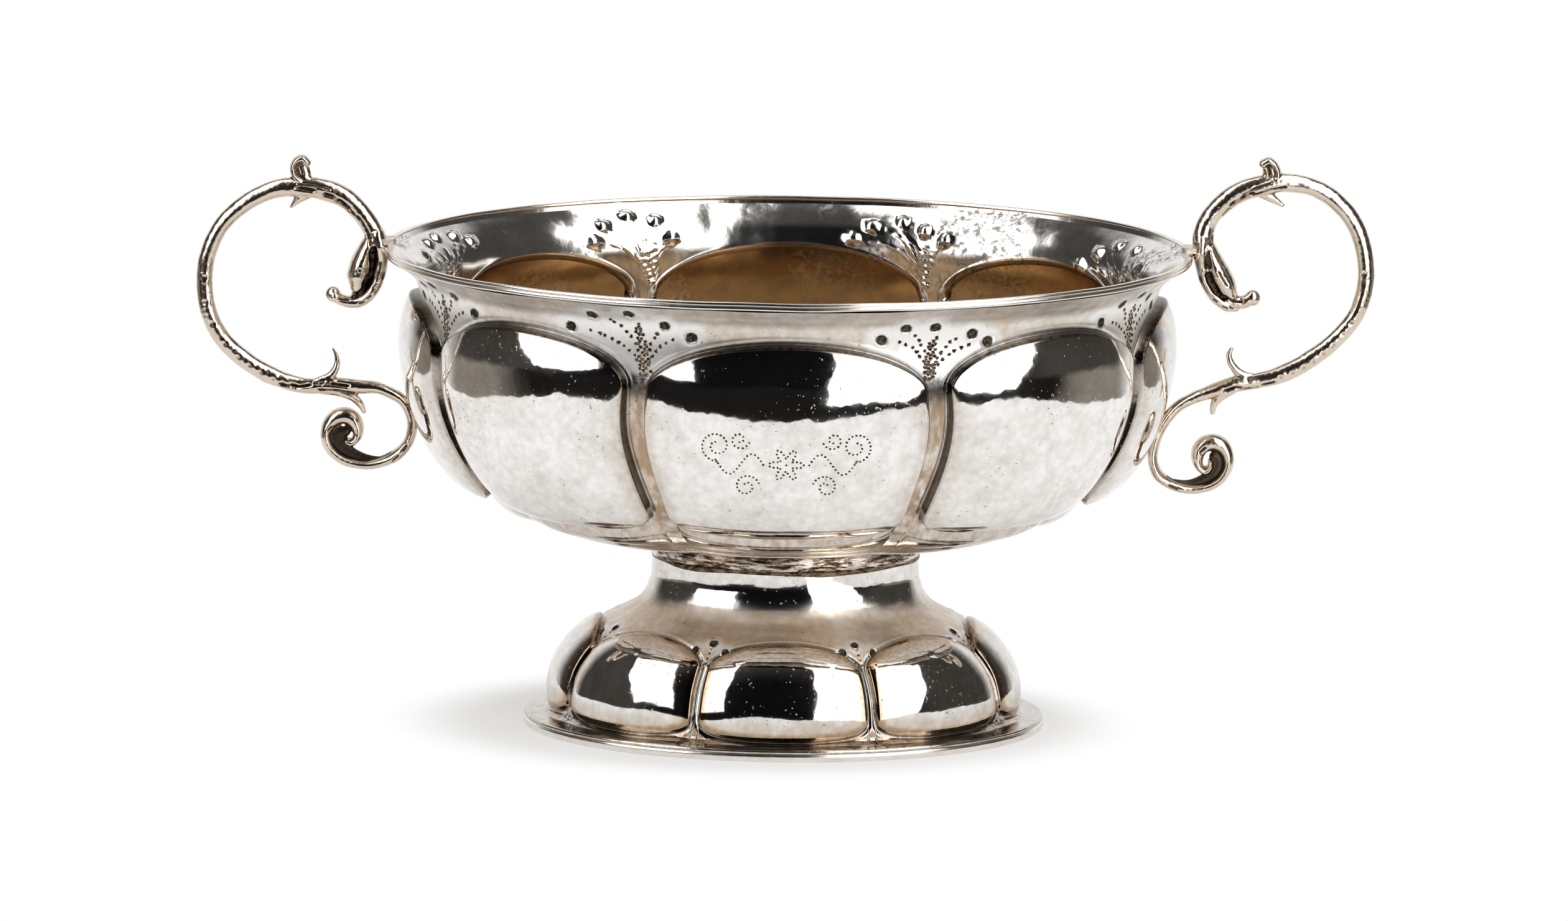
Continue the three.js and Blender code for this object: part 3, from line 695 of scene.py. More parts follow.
def foot_skin():
    """The foot's outer skin, stem, lobed dome and flange, with its chased lines and marks, and
    its lining, the same skin moved in by the wall."""
    line = foot_meridian()
    above = np.linspace(0, 1, 70)[:-1]
    below = np.linspace(0, 1, 20)[1:]
    inside = dense_ends(80, 0.45)
    skin = lobed_skin(line, FOOT_LOBE, 60, 10, above, inside, below)
    edge_half, edge_height = np.array(FLANGE_EDGE).T[:, :, None]
    turned = oval_point(FLANGE_HALF + edge_half, FLANGE_TOP + edge_height, skin["angle"][None])
    grid = np.vstack([skin["grid"], turned])
    stretch = ((0, len(turned)), (0, 0))
    edge, in_lobe = (np.pad(skin[key], stretch, "edge") for key in ("edge", "in_lobe"))
    outside = 1 - in_lobe
    out = grid_normals(grid)
    marks, dots = foot_fan_places(line)
    pits, pitted = stamp(grid, marks, radius=1.0, depth=0.4)
    chased = -0.25 * bell(edge, 0.4) + 0.1 * bell(edge - 1.0, 0.45) * outside
    wobble = 0.07 * waves(grid, size=22, seed=7) + 0.02 * waves(grid, size=9, seed=8)
    plain = grid + out * (chased + wobble)[..., None]
    final = plain + out * pits[..., None]
    height = grid[..., 2]
    low = smooth(8, 3, height)
    ground = np.maximum(outside * smooth(0, 0.8, edge) * smooth(33, 27, height), 0.8 * low * outside)
    dark = np.maximum.reduce([0.5 * pitted, 0.65 * bell(edge, 0.5), 0.35 * low * outside])
    outer = dict(
        plain=plain,
        final=final,
        normals=grid_normals(final),
        ground_mask=ground,
        border=smooth(5, 0.5, edge) * in_lobe,
        tarnish_and_painted_reflection=np.clip(dark, 0, 1),
        halo=stamp(grid, marks, radius=2.2, depth=0.0)[1] * outside,
        marks=marks,
        dots=dots,
    )
    inner = (grid - out * WALL)[: -len(turned)]
    lining = dict(
        final=inner,
        normals=grid_normals(inner, flip=True),
        ground_mask=np.ones(inner.shape[:2]),
        tarnish_and_painted_reflection=np.full(inner.shape[:2], 0.25),
    )
    return outer, lining


def foot_wire_section():
    """The wire under the flange's edge, rounded outside, up to the underside of the flange."""
    high = FLANGE_TOP - WALL + 0.05
    outer = [[-0.35, 0], [-0.1, 0.15], [0, 0.45], [0, high - 0.45], [-0.1, high - 0.15]]
    return [*outer, [-0.35, high], [-FOOT_WIRE_WIDTH, high], [-FOOT_WIRE_WIDTH, 0]]


# Wires and collar
def oval_ring(half, section, columns, wobble=0.0, seed=0):
    """A ring whose section is a closed loop of [out, height], anticlockwise with the outside
    on the right, round the oval of the given half length."""
    section = np.asarray(section, float)
    angle = np.linspace(0, 2 * math.pi, columns, endpoint=False)
    out = oval_out(angle)
    base = oval_point(np.full(columns, half), np.zeros(columns), angle)
    points = base[None] + out[None] * section[:, None, :1]
    points[..., 2] = section[:, 1:2]
    points = points[::-1]
    if wobble:
        points = points + wobble * waves(points, 18, seed)[..., None] * np.array([0.4, 0.4, 1])
    quads = grid_quads(len(section), columns, True, True)
    return points, quads


def lip_wire_section():
    """The lip's edge, a wire with a shallow groove along its outer face, thin inside. At share u
    of its height the outer face lies at
    -0.45 (1 - (1 - |2u - 1|^5)^0.5) - 0.22 exp(-((u - 0.52) / 0.09)^2)."""
    share = np.linspace(0, 1, 25)
    full = np.sqrt(np.clip(1 - np.abs(2 * share - 1) ** 5, 0, 1))
    out = -0.45 * (1 - full) - 0.22 * bell(share - 0.52, 0.09)
    low = LIP_HEIGHT - LIP_WIRE_HEIGHT
    face = np.stack([out, low + share * LIP_WIRE_HEIGHT], -1)
    inner = [[-0.8, LIP_HEIGHT - 0.03], [-1.15, LIP_HEIGHT - 0.2], [-1.2, low + 1.2], [-0.9, low]]
    return np.vstack([face, inner])


def collar_section():
    """The collar between bowl and foot, a low swelling band."""
    swell = [[0.25, 0.5], [COLLAR_SWELL, 1.2], [COLLAR_SWELL, 2.2], [0.25, 2.9]]
    middle = [[out, COLLAR_FOOT + up] for out, up in swell]
    ends = [[0, COLLAR_TOP], [-COLLAR_WIDTH, COLLAR_TOP], [-COLLAR_WIDTH, COLLAR_FOOT]]
    return [[0, COLLAR_FOOT], *middle, *ends]


def solder_section():
    """The seam of solder under the collar: (0.4 cos a - 0.2, 0.55 sin a - 0.15)."""
    turn = np.linspace(-math.pi, math.pi, 13)[:-1]
    return np.stack([0.4 * np.cos(turn) - 0.2, COLLAR_FOOT - 0.15 + 0.55 * np.sin(turn)], -1)


# Handles. A bar's points are [out from its seat, up from the lip, half thickness in the
# handle's plane].
SEAT = {"left": 89.01, "right": 89.55}  # how far out on X a casting's zero lies
CASTINGS = {
    "left": dict(
        crest=[
            [1.9, 2.2, 1.8], [1.2, -0.4, 1.9], [0.9, -3.6, 1.5], [1.6, -7.4, 1.45],
            [3.2, -10.8, 1.45], [5.4, -12.7, 1.4], [7.8, -13.1, 1.3], [9.8, -12.5, 1.3],
            [11.2, -11.7, 1.4],
        ],
        bill=[
            [3.1, 0.8, 1.8], [4.3, -1.8, 2.2], [5.3, -4.4, 2.55], [6.0, -7.2, 2.55],
            [6.2, -9.4, 1.7],
        ],
        core=[[2.6, 0.8, 1.9], [3, -3, 2.2], [3.8, -7, 2.3], [5, -10.4, 1.9], [7.2, -12.4, 1]],
        ring=[
            [2.6, -3.3, 1.9], [2.1, 0.1, 2.45], [2.8, 2.9, 2.15], [5.2, 6.6, 2.13],
            [8.4, 9.8, 2.27], [12.1, 11.6, 2.4], [18, 12.6, 2.3], [24.9, 11.9, 2],
            [31.3, 8.6, 1.86], [36.3, 3.7, 1.74], [39.3, -3, 1.81], [39.9, -9, 1.81],
            [39.1, -15.2, 1.79], [36, -21.5, 1.86], [31.5, -25.8, 1.95], [25.2, -29.7, 1.99],
            [18.2, -31.9, 1.72], [12, -31.9, 1.76],
        ],
        scroll=[
            [14.5, -31.9, 1.72], [10.4, -31.8, 1.79], [5.4, -32.1, 1.58], [1.5, -32.3, 1.31],
            [-1.6, -33.5, 1.24], [-4, -35, 1.26], [-5.5, -37.4, 1.2], [-6.2, -40.6, 1.2],
            [-5.4, -44.2, 1.15], [-3.1, -47, 1.31], [0.6, -48.9, 1.2], [4.3, -49.5, 1.1],
            [8.3, -48.7, 1.2], [11.3, -46.7, 1.25], [12.7, -44.3, 1.2], [12.9, -42.2, 1.2],
            [12, -40.2, 1.5], [10.4, -38.9, 1.8], [8.5, -38.6, 1.95], [6.9, -39.4, 1.85],
            [6, -41, 1.55], [5.8, -42.6, 1.2], [6.4, -43.9, 0.95], [7.4, -44.6, 0.85],
            [8.3, -44.2, 0.7],
        ],
        upper_thorn=[
            [17.5, -32.2, 1.0], [14.6, -31.2, 1.2], [11.9, -29.7, 1.0], [10.6, -27.4, 0.75],
            [10.7, -25.2, 0.5], [11.5, -23.6, 0.25],
        ],
        lower_thorn=[
            [13.5, -32.6, 1.3], [10, -33.1, 1.25], [7.2, -34.2, 1.05], [5.4, -35.9, 0.8],
            [4.5, -37.6, 0.5],
        ],
        inner_thorn=[[17, 11.5, 1.5], [19.3, 9.9, 1], [20.9, 8.1, 0.3]],
        leaf=[
            [18.2, 13.2, 1.1], [20.2, 15.1, 0.7], [20.6, 17, 0.65], [19.8, 18.6, 0.75],
            [18.4, 19, 0.85], [17.4, 18.1, 0.9],
        ],
        leaf_fill=[[17.6, 13.2, 1.5], [18.4, 15.4, 1.9], [18.7, 17.3, 1.7]],
        web=[
            [-2.2, -48.1, 0.5], [2.9, -48.4, 0.9], [7, -47.1, 1.3], [9.8, -45, 1.8],
            [10.1, -42.8, 1.9], [8.6, -42.1, 1.2],
        ],
        tip=[11.5, -11.4],
    ),
    "right": dict(
        crest=[
            [1.6, 3, 1.9], [1.5, 0.2, 1.9], [1.9, -2.9, 1.6], [3, -6.6, 1.5],
            [5, -9.7, 1.5], [7.6, -11.8, 1.3], [9.4, -12.4, 0.7],
        ],
        bill=[
            [3, 1.2, 1.9], [4.2, -1.6, 2.15], [5.6, -4.4, 2.5], [7.2, -7.2, 2.3],
            [8.1, -9.2, 1.7],
        ],
        core=[[2.4, 1.8, 1.9], [3.4, -1.8, 2], [5, -5.6, 2.3], [7.2, -9, 1.8], [9.4, -10.6, 1]],
        beak=[[7.4, -9.8, 1.6], [9.6, -10.9, 1.5], [11.6, -10.7, 1.45], [12.8, -9.8, 1.4]],
        ring=[
            [3, -1.7, 1.9], [2.1, 1.4, 2.4], [2, 4.3, 2.3], [3.1, 7.6, 2.1],
            [5.9, 10.9, 2.2], [9.4, 13.6, 2.3], [14.6, 15.3, 2.3], [20.5, 16, 2.05],
            [26.9, 14.7, 1.92], [32, 11.2, 1.92], [35.9, 5.8, 1.86], [37.8, -1, 1.86],
            [37.8, -7.4, 1.83], [35.8, -13.6, 1.79], [31.8, -18.7, 1.82], [26.4, -23.2, 1.95],
            [20, -26.8, 1.95], [15, -28.3, 1.72], [9.5, -29.2, 1.8],
        ],
        scroll=[
            [11.6, -28.8, 1.79], [8.7, -29.5, 1.86], [6, -30.4, 1.72], [2.8, -31.5, 1.44],
            [-0.1, -32.7, 1.31], [-3, -34.4, 1.24], [-5.2, -36.7, 1.28], [-6.9, -39.6, 1.2],
            [-8.3, -43.6, 1.2], [-8.4, -46.9, 1.17], [-7.3, -49.7, 1.24], [-4.9, -51.6, 1.2],
            [-1.3, -52.8, 1.15], [2.8, -52.6, 1.1], [6.4, -50.8, 1.1], [8.1, -47.9, 1.15],
            [8.1, -45.2, 1.4], [6.9, -43.2, 1.75], [5, -42.4, 1.9], [3.1, -42.8, 1.9],
            [1.7, -44.3, 1.65], [1.4, -46.4, 1.3], [2.1, -48.2, 1.0], [3.3, -48.8, 0.8],
            [4.2, -47.9, 0.7], [4.3, -46.7, 0.6],
        ],
        upper_thorn=[
            [18, -27.7, 1.2], [14.4, -28.1, 1.25], [11.4, -27.4, 1.1], [9.4, -25.8, 0.9],
            [8.3, -24, 0.75], [8.1, -22.4, 0.6], [8.6, -21.4, 0.45],
        ],
        lower_thorn=[[8.6, -30.2, 1.5], [6, -32.2, 1.2], [4.9, -34, 0.85], [4.6, -35.6, 0.6]],
        inner_thorn=[[14, 14.2, 1.4], [17.2, 12.4, 1.0], [19.3, 11, 0.45]],
        leaf=[
            [17.6, 15.6, 1.1], [18.2, 17.9, 0.8], [17.6, 19.9, 0.75], [16.2, 20.9, 0.8],
            [14.9, 20.2, 1.0],
        ],
        leaf_fill=[[16.4, 15.2, 1.7], [16.6, 17.4, 1.8], [16.3, 19, 1.5]],
        web=[
            [-4.4, -51.2, 0.5], [-0.4, -51.8, 0.9], [2.9, -50.8, 1.3], [5.4, -49, 1.6],
            [6, -46.8, 1.6], [5.2, -45.6, 1.2],
        ],
        tip=[13.1, -9.9],
    ),
}


# Half depth of each bar along Y, as bar() takes it
BARS = {
    "crest": dict(share=1.6),
    "bill": dict(share=1.45),
    "core": dict(plain=1.25),
    "ring": dict(share=0.97),
    "scroll": dict(share=1.0, end=2.6, reach=0.4),
    "upper_thorn": dict(share=0.97),
    "lower_thorn": dict(share=0.97),
    "inner_thorn": dict(share=0.97),
    "leaf": dict(plain=2.0, end=1.7),
    "leaf_fill": dict(plain=1.3),
    "web": dict(plain=0.8),
    "beak": dict(share=1.2),
}
BAR_STEP, BAR_SIDES = 0.35, 28
TIP_RADII = np.array([1.65, 1.7, 1.8])  # the ball at the tip of the tongue or beak
CASTING_VOXEL = 0.2
CASTING_SEED = {"left": 21, "right": 22}


def closed_ends(grid, poles):
    """A grid that is closed round its columns, with a fan to a pole at either end."""
    rows, columns = grid.shape[:2]
    j = np.arange(columns)
    following = (j + 1) % columns
    first_pole, last_row = rows * columns, (rows - 1) * columns
    fans = np.vstack(
        [
            np.stack([np.full(columns, first_pole), j, following], -1),
            np.stack([np.full(columns, first_pole + 1), last_row + following, last_row + j], -1),
        ]
    )
    return np.vstack([grid.reshape(-1, 3), poles]), grid_quads(rows, columns, True), fans


def bar(path, share=0.0, plain=0.0, end=None, reach=1.0):
    """A closed tube along a path in the XZ plane, p + h cos(a) n + d sin(a) y, rounded at its
    ends like half an ellipse. Its half depth d is share h + plain, and where an end is given it
    goes over to that within reach of the way."""
    path = np.asarray(path, float)
    length = np.linalg.norm(np.diff(path[:, :2], axis=0), axis=1).sum()
    count = max(8, int(length / BAR_STEP))
    t = np.linspace(0, 1, count + 1)
    centre = centripetal_spline(path[:, :2], t)
    along = unit(np.gradient(centre, axis=0))
    half = np.interp(t * (len(path) - 1), np.arange(len(path)), path[:, 2])
    deep = share * half + plain
    if end is not None:
        deep = lerp(deep, end, np.minimum(1, t / reach))
    cap = np.linspace(0, math.pi / 2, 7)[1:]
    row = np.concatenate([np.zeros(len(cap), int), np.arange(count + 1), np.full(len(cap), count)])
    ahead = np.concatenate([-np.sin(cap[::-1]), np.zeros(count + 1), np.sin(cap)]) * half[row]
    size = np.concatenate([np.cos(cap[::-1]), np.ones(count + 1), np.cos(cap)])
    size = np.maximum(size, 0.001)
    angle = np.linspace(0, 2 * math.pi, BAR_SIDES, endpoint=False)
    across = np.outer(half[row] * size, np.cos(angle))
    middle = centre[row] + along[row] * ahead[:, None]
    x = middle[:, :1] - along[row, 1:] * across
    y = np.outer(deep[row] * size, np.sin(angle))
    z = middle[:, 1:] + along[row, :1] * across
    grid = np.stack([x, y, z], -1)
    return closed_ends(grid, [grid[0].mean(axis=0), grid[-1].mean(axis=0)])


def ball(centre, radii, count=20):
    """An ellipsoid (r1 sin u cos v, r2 sin u sin v, r3 cos u) round a centre."""
    u = np.linspace(0, math.pi, count + 1)[1:-1][:, None]
    v = np.linspace(0, 2 * math.pi, 2 * count, endpoint=False)[None]
    shape = [np.sin(u) * np.cos(v), np.sin(u) * np.sin(v), np.cos(u) * np.ones_like(v)]
    pole = np.array([0, 0, radii[2]])
    return closed_ends(np.stack(shape, -1) * radii + centre, [centre + pole, centre - pole])


def fused(name, solids, voxel):
    """One skin round several overlapping solids, by a voxel remesh, as points and quads."""
    points, quads, tris, shift = [], [], [], 0
    for p, q, f in solids:
        points.append(p)
        quads.append(q + shift)
        tris.append(f + shift)
        shift += len(p)
    rough = make_piece(name + "_rough", np.vstack(points), np.vstack(quads), np.vstack(tris))
    remesh = rough.modifiers.new("fuse", "REMESH")
    remesh.mode = "VOXEL"
    remesh.voxel_size = voxel * MM
    remesh.adaptivity = 0
    view = rough.evaluated_get(bpy.context.evaluated_depsgraph_get())
    mesh = view.to_mesh()
    found = np.empty(len(mesh.vertices) * 3, np.float32)
    mesh.vertices.foreach_get("co", found)
    corners = np.empty(len(mesh.loops), np.int32)
    mesh.loops.foreach_get("vertex_index", corners)
    assert len(corners) == 4 * len(mesh.polygons)
    view.to_mesh_clear()
    bpy.data.objects.remove(rough)
    return found.reshape(-1, 3).astype(float) / MM, corners.reshape(-1, 4)


class Neighbours:
    """Means over the points next to each point of a quad skin."""

    def __init__(self, quads, count):
        self.here = quads.T.ravel()
        self.there = np.roll(quads, -1, axis=1).T.ravel()
        ends = np.concatenate([self.here, self.there])
        self.shares = np.bincount(ends, minlength=count)

    def mean(self, values):
        """The mean of a value or of places over each point's neighbours."""
        columns = []
        for column in values.reshape(len(values), -1).T:
            total = np.bincount(self.here, column[self.there], len(values))
            total += np.bincount(self.there, column[self.here], len(values))
            columns.append(total / self.shares)
        return np.stack(columns, -1).reshape(values.shape)


def relax(points, near, rounds, share=0.5):
    """Each point moves share of the way to the mean of its neighbours, rounds times, and
    back out by a little more, so that the skin gets smooth without shrinking."""
    for i in range(rounds * 2):
        points = points + (share if i % 2 == 0 else -share * 1.04) * (near.mean(points) - points)
    return points


def spread(values, near, rounds):
    """A value on the points, moved 0.6 of the way to its neighbours' mean, rounds times."""
    for _ in range(rounds):
        values = 0.4 * values + 0.6 * near.mean(values)
    return values


def skin_normals(points, quads):
    """Area-weighted normals of a quad skin, from the cross products of the diagonals."""
    corner = points[quads]
    cross = np.cross(corner[:, 2] - corner[:, 0], corner[:, 3] - corner[:, 1])
    total = np.zeros_like(points)
    for k in range(4):
        for axis in range(3):
            total[:, axis] += np.bincount(quads[:, k], cross[:, axis], len(points))
    return unit(total)


def hollows(points, quads, near, rounds):
    """How far in mm the smoothed skin lies outside a point: positive in hollows."""
    mean = points
    for _ in range(rounds):
        mean = near.mean(mean)
    return ((mean - points) * skin_normals(points, quads)).sum(axis=1)


# Hollows cut along a casting: a path of [out, up], its half width, its depth, and how much of
# the depth comes and goes along it
GROOVES = {
    "left": [
        ([[19.6, 12.9], [15.8, 12.1], [11.8, 10.8], [9.3, 8.8]], 0.6, 0.75, 0.8),
        ([[10.1, 9.4], [8.5, 8.1]], 0.9, 0.9, 0),
        ([[8.2, 7.8], [5.8, 5.9], [4.1, 3.0], [3.2, 0.2]], 0.45, 0.5, 0.9),
        ([[2.6, -0.6], [2.5, -3.2], [3.1, -6.6], [4.6, -9.8], [6.3, -11.4]], 0.5, 0.8, 0.5),
        ([[2.9, -1.4], [2.7, -3.4]], 0.85, 0.7, 0.3),
        ([[3.7, -7.4], [4.3, -8.8]], 0.8, 0.6, 0.3),
        ([[8.1, -10.8], [7.1, -11.6]], 0.6, 0.7, 0),
        ([[5.6, -5.4], [5.5, -5.6]], 0.4, 0.6, 0),
        ([[8.2, -12.2], [10, -12.1]], 0.4, 0.5, 0),
        ([[1.9, -8.6], [2.6, -9.4]], 0.25, 0.4, 0),
        ([[3.1, -11.2], [3.9, -11.8]], 0.25, 0.4, 0),
        ([[4.6, -12.6], [5.6, -13]], 0.25, 0.4, 0),
        ([[23, -31.6], [19.8, -32.3], [15.8, -31.3], [11.8, -31], [8.2, -31.6]], 0.5, 0.8, 0.7),
        ([[14.5, -32.6], [10.5, -32.7], [6.8, -33.4]], 0.3, 0.5, 0.4),
        ([[20.2, -31.8], [19.6, -32]], 0.8, 0.8, 0),
        ([[-4.4, -45.8], [-4.9, -45]], 0.6, 0.5, 0),
        ([[-2.2, -48.1], [-3.2, -47.1]], 0.35, 0.4, 0),
        ([[18.4, 15.8], [18.9, 17.4]], 0.4, 0.3, 0),
        ([[19.4, 13.6], [15.4, 13.3], [12.4, 12.4]], 0.3, 0.35, 0.3),
        ([[12.3, -41.6], [11.6, -40.9]], 0.3, 0.3, 0),
    ],
    "right": [
        ([[12.6, 13.6], [10.4, 12.6], [8.3, 11.2]], 0.7, 0.9, 0.5),
        ([[7.8, 9.6], [6.9, 8.3]], 0.85, 1.0, 0),
        ([[20, 15.4], [16, 14.6], [12.6, 13.2]], 0.3, 0.4, 0.4),
        ([[4.9, 5.4], [3.6, 2.6], [3, 0.2]], 0.4, 0.6, 0.9),
        ([[3.1, -0.4], [3.2, -2.6]], 0.6, 0.8, 0.3),
        ([[3.1, -4.6], [3.6, -6.2], [4.8, -8.0]], 0.85, 0.8, 0),
        ([[5.4, -3.6], [7.2, -6.6]], 0.3, 0.3, 0),
        ([[5.2, -8.6], [7, -9.9]], 0.45, 0.6, 0),
        ([[6.9, -9.4], [8.6, -10.4], [10.6, -10.4]], 0.4, 0.7, 0),
        ([[6.4, -11.6], [7.4, -12]], 0.25, 0.4, 0),
        ([[4.3, -9.9], [5.1, -10.5]], 0.25, 0.4, 0),
        ([[14.4, -29.8], [11.9, -30.3], [9.6, -29.8], [7.4, -30.6]], 0.5, 0.8, 0.6),
        ([[18, -28.6], [15.4, -29.3]], 0.4, 0.6, 0.6),
        ([[-4.6, -51.9], [-3.2, -52.5]], 0.6, 0.4, 0),
        ([[16.3, 18], [16.0, 19.4]], 0.55, 0.45, 0),
        ([[16.6, 16.3], [13.4, 15.2], [10.6, 13.6]], 0.3, 0.4, 0.3),
        ([[3, -43.4], [2.2, -44.2]], 0.5, 0.5, 0),
    ],
}
# Small dents in a row along the lower outer face of each ring: [out, up]
DENTS = {
    "left": [
        [40, -7.7], [39.9, -13.3], [38.2, -18], [35.4, -22.6], [32.4, -25.6], [29.9, -27.4],
        [27.4, -28.9], [24.6, -30.4], [22.4, -31.2],
    ],
    "right": [
        [19.6, -27.4], [22.2, -26.4], [24.6, -25.2], [26.8, -23.8], [29, -22], [31.2, -20],
        [33.2, -17.6], [34.8, -15], [37.6, -4],
    ],
}


def path_distance(points, path):
    """Distance in the XZ plane from each point to a line of [out, up] points."""
    flat = points[:, [0, 2]]
    near = np.full(len(points), np.inf)
    for a, b in zip(np.array(path, float), np.array(path, float)[1:]):
        share = np.clip((flat - a) @ (b - a) / max((b - a) @ (b - a), 1e-9), 0, 1)
        near = np.minimum(near, np.linalg.norm(flat - a - share[:, None] * (b - a), axis=1))
    return near


def chasing(side, points, facing):
    """Height in mm of a casting's hollows, -depth exp(-(d / 0.8 w)^2), and of its dents, -0.1
    exp(-(d / 0.5)^2) in a low burr, on what faces the side, and how dark they are, 0..1."""
    height, dark = np.zeros(len(points)), np.zeros(len(points))
    for k, (path, wide, deep, uneven) in enumerate(GROOVES[side]):
        d = path_distance(points, path) / wide
        come_and_go = smooth(-0.2, 0.7, waves(points, 2.6, CASTING_SEED[side] + 40 + k))
        cut = facing * (1 - uneven * come_and_go)
        height -= deep * bell(d, 0.8) * cut
        dark = np.maximum(dark, smooth(1.1, 0.5, d) * cut)
    for x, z in DENTS[side]:
        d = np.hypot(points[:, 0] - x, points[:, 2] - z)
        height += (-0.1 * bell(d, 0.5) + 0.04 * bell(d - 0.95, 0.35)) * facing
        dark = np.maximum(dark, 0.4 * smooth(0.55, 0.25, d) * facing)
    return height, dark


def casting(side):
    """One handle as a skin and its tarnish, in its own numbers: bars and the ball at its tip
    made one, smoothed, then chased and given the grain of the sand."""
    parts, seed = CASTINGS[side], CASTING_SEED[side]
    out, up = parts["tip"]
    solids = [bar(parts[part], **depth) for part, depth in BARS.items() if part in parts]
    solids.append(ball(np.array([out, 0, up]), TIP_RADII))
    points, quads = fused("casting_" + side, solids, CASTING_VOXEL)
    near = Neighbours(quads, len(points))
    points = relax(points, near, 4)
    outs = skin_normals(points, quads)
    height, chased_dark = chasing(side, points, smooth(0.1, 0.55, np.abs(outs[:, 1])))
    grain = 0.03 * waves(points, 4.1, seed, 24) + 0.012 * waves(points, 1.3, seed + 10, 30)
    points = relax(points + outs * (height + grain)[:, None], near, 1)
    tarnish_and_painted_reflection = spread(smooth(0.02, 0.16, hollows(points, quads, near, 14)), near, 2)
    tarnish_and_painted_reflection = np.clip(tarnish_and_painted_reflection + 0.9 * chased_dark, 0, 1)
    in_web = smooth(1.9, 1.3, path_distance(points, np.array(parts["web"])[:, :2]))
    in_web = in_web * smooth(1.5, 1.1, np.abs(points[:, 1]))
    return points, quads, np.maximum(tarnish_and_painted_reflection, in_web)


# Finishes
class Value:
    """A shader value that can be added, multiplied and so on like a number."""

    def __init__(self, sheet, socket):
        self.sheet = sheet
        self.socket = socket

    def work(self, operation, *values, clamp=False):
        """A Math node on the values."""
        settings = dict(operation=operation, use_clamp=clamp)
        return self.sheet.node("Math", settings, dict(enumerate(values)))

    def __add__(self, other):
        return self.work("ADD", self, other)

    def __radd__(self, other):
        return self.work("ADD", other, self)

    def __sub__(self, other):
        return self.work("SUBTRACT", self, other)

    def __rsub__(self, other):
        return self.work("SUBTRACT", other, self)

    def __mul__(self, other):
        return self.work("MULTIPLY", self, other)

    def __rmul__(self, other):
        return self.work("MULTIPLY", other, self)

    def held(self):
        """Held between 0 and 1."""
        return self.work("ADD", self, 0, clamp=True)

    def step(self, low, high):
        """0 at low to 1 at high, smoothly."""
        settings = dict(interpolation_type="SMOOTHSTEP")
        sockets = {"Value": self, "From Min": low, "From Max": high}
        return self.sheet.node("MapRange", settings, sockets, "Result")


class Sheet:
    """The node tree of a finish or of the room."""

    def __init__(self, tree, output):
        self.tree = tree
        tree.nodes.clear()
        self.out = tree.nodes.new("ShaderNode" + output)

    def node(self, kind, settings=None, sockets=None, output=0):
        """Any node: its settings first, then the values or links of its sockets."""
        made = self.tree.nodes.new("ShaderNode" + kind)
        for key, value in (settings or {}).items():
            setattr(made, key, value)
        for key, value in (sockets or {}).items():
            if isinstance(value, Value):
                self.tree.links.new(value.socket, made.inputs[key])
            else:
                made.inputs[key].default_value = value
        return Value(self, made.outputs[output])

    def show(self, shader):
        """The shader becomes what is seen of the surface or the room."""
        self.tree.links.new(shader.socket, self.out.inputs[0])

    def attribute(self, name):
        """A value that the piece's points carry."""
        return self.node("Attribute", dict(attribute_name=name), output="Fac")

    def place(self, size, stretch=(1, 1, 1)):
        """Object coordinates in units of size mm, stretched."""
        spot = self.node("TexCoord", output="Object")
        scale = tuple(1 / (MM * size * k) for k in stretch)
        return self.node("Mapping", sockets=dict(Vector=spot, Scale=scale))

    def height(self):
        """Height over the table in mm."""
        return self.node("SeparateXYZ", sockets={0: self.place(1.0)}, output=2)

    def noise(self, size, detail=3.0, rough=0.5, stretch=(1, 1, 1)):
        """Clouds about size mm apart, 0.5 on the mean."""
        sockets = dict(
            Vector=self.place(size, stretch), Scale=1.0, Detail=detail, Roughness=rough
        )
        return self.node("TexNoise", sockets=sockets, output="Fac")

    def cells(self, size):
        """0 in the middle of a cell to about 0.7 at its edge."""
        sockets = dict(Vector=self.place(size), Scale=1.0, Smoothness=0.25)
        return self.node("TexVoronoi", dict(feature="SMOOTH_F1"), sockets, "Distance")

    def blend(self, first, second, share):
        """The first colour where share is 0, the second where it is 1."""
        colors = [c if isinstance(c, Value) else (*c, 1) for c in (first, second)]
        sockets = {0: share, 6: colors[0], 7: colors[1]}
        return self.node("Mix", dict(data_type="RGBA"), sockets, 2)

    def bump(self, height):
        """A height in mm as relief of the surface."""
        return self.node("Bump", sockets=dict(Height=height, Distance=MM))

    def dishes(self, deep):
        """Planishing marks, hollows deep d^2 / 2R round scattered points: wide ones 4.6 mm apart
        with R 90 mm and small ones 1.9 mm apart with R 70 mm."""
        wide, small = self.cells(4.6), self.cells(1.9)
        return wide * wide * (deep * 4.6**2 / (2 * 90)) + small * small * (deep * 1.9**2 / (2 * 70))


def finish(name):
    """A new material and its sheet."""
    material = bpy.data.materials.new(name)
    material.use_nodes = True
    sheet = Sheet(material.node_tree, "OutputMaterial")
    sheet.material = material
    return sheet


def metal(sheet, color, rough, height):
    """Bare metal with that colour, roughness and relief in mm."""
    sockets = {
        "Metallic": 1.0, "Base Color": color, "Roughness": rough, "Normal": sheet.bump(height)
    }
    sheet.show(sheet.node("BsdfPrincipled", sockets=sockets))
    return sheet.material
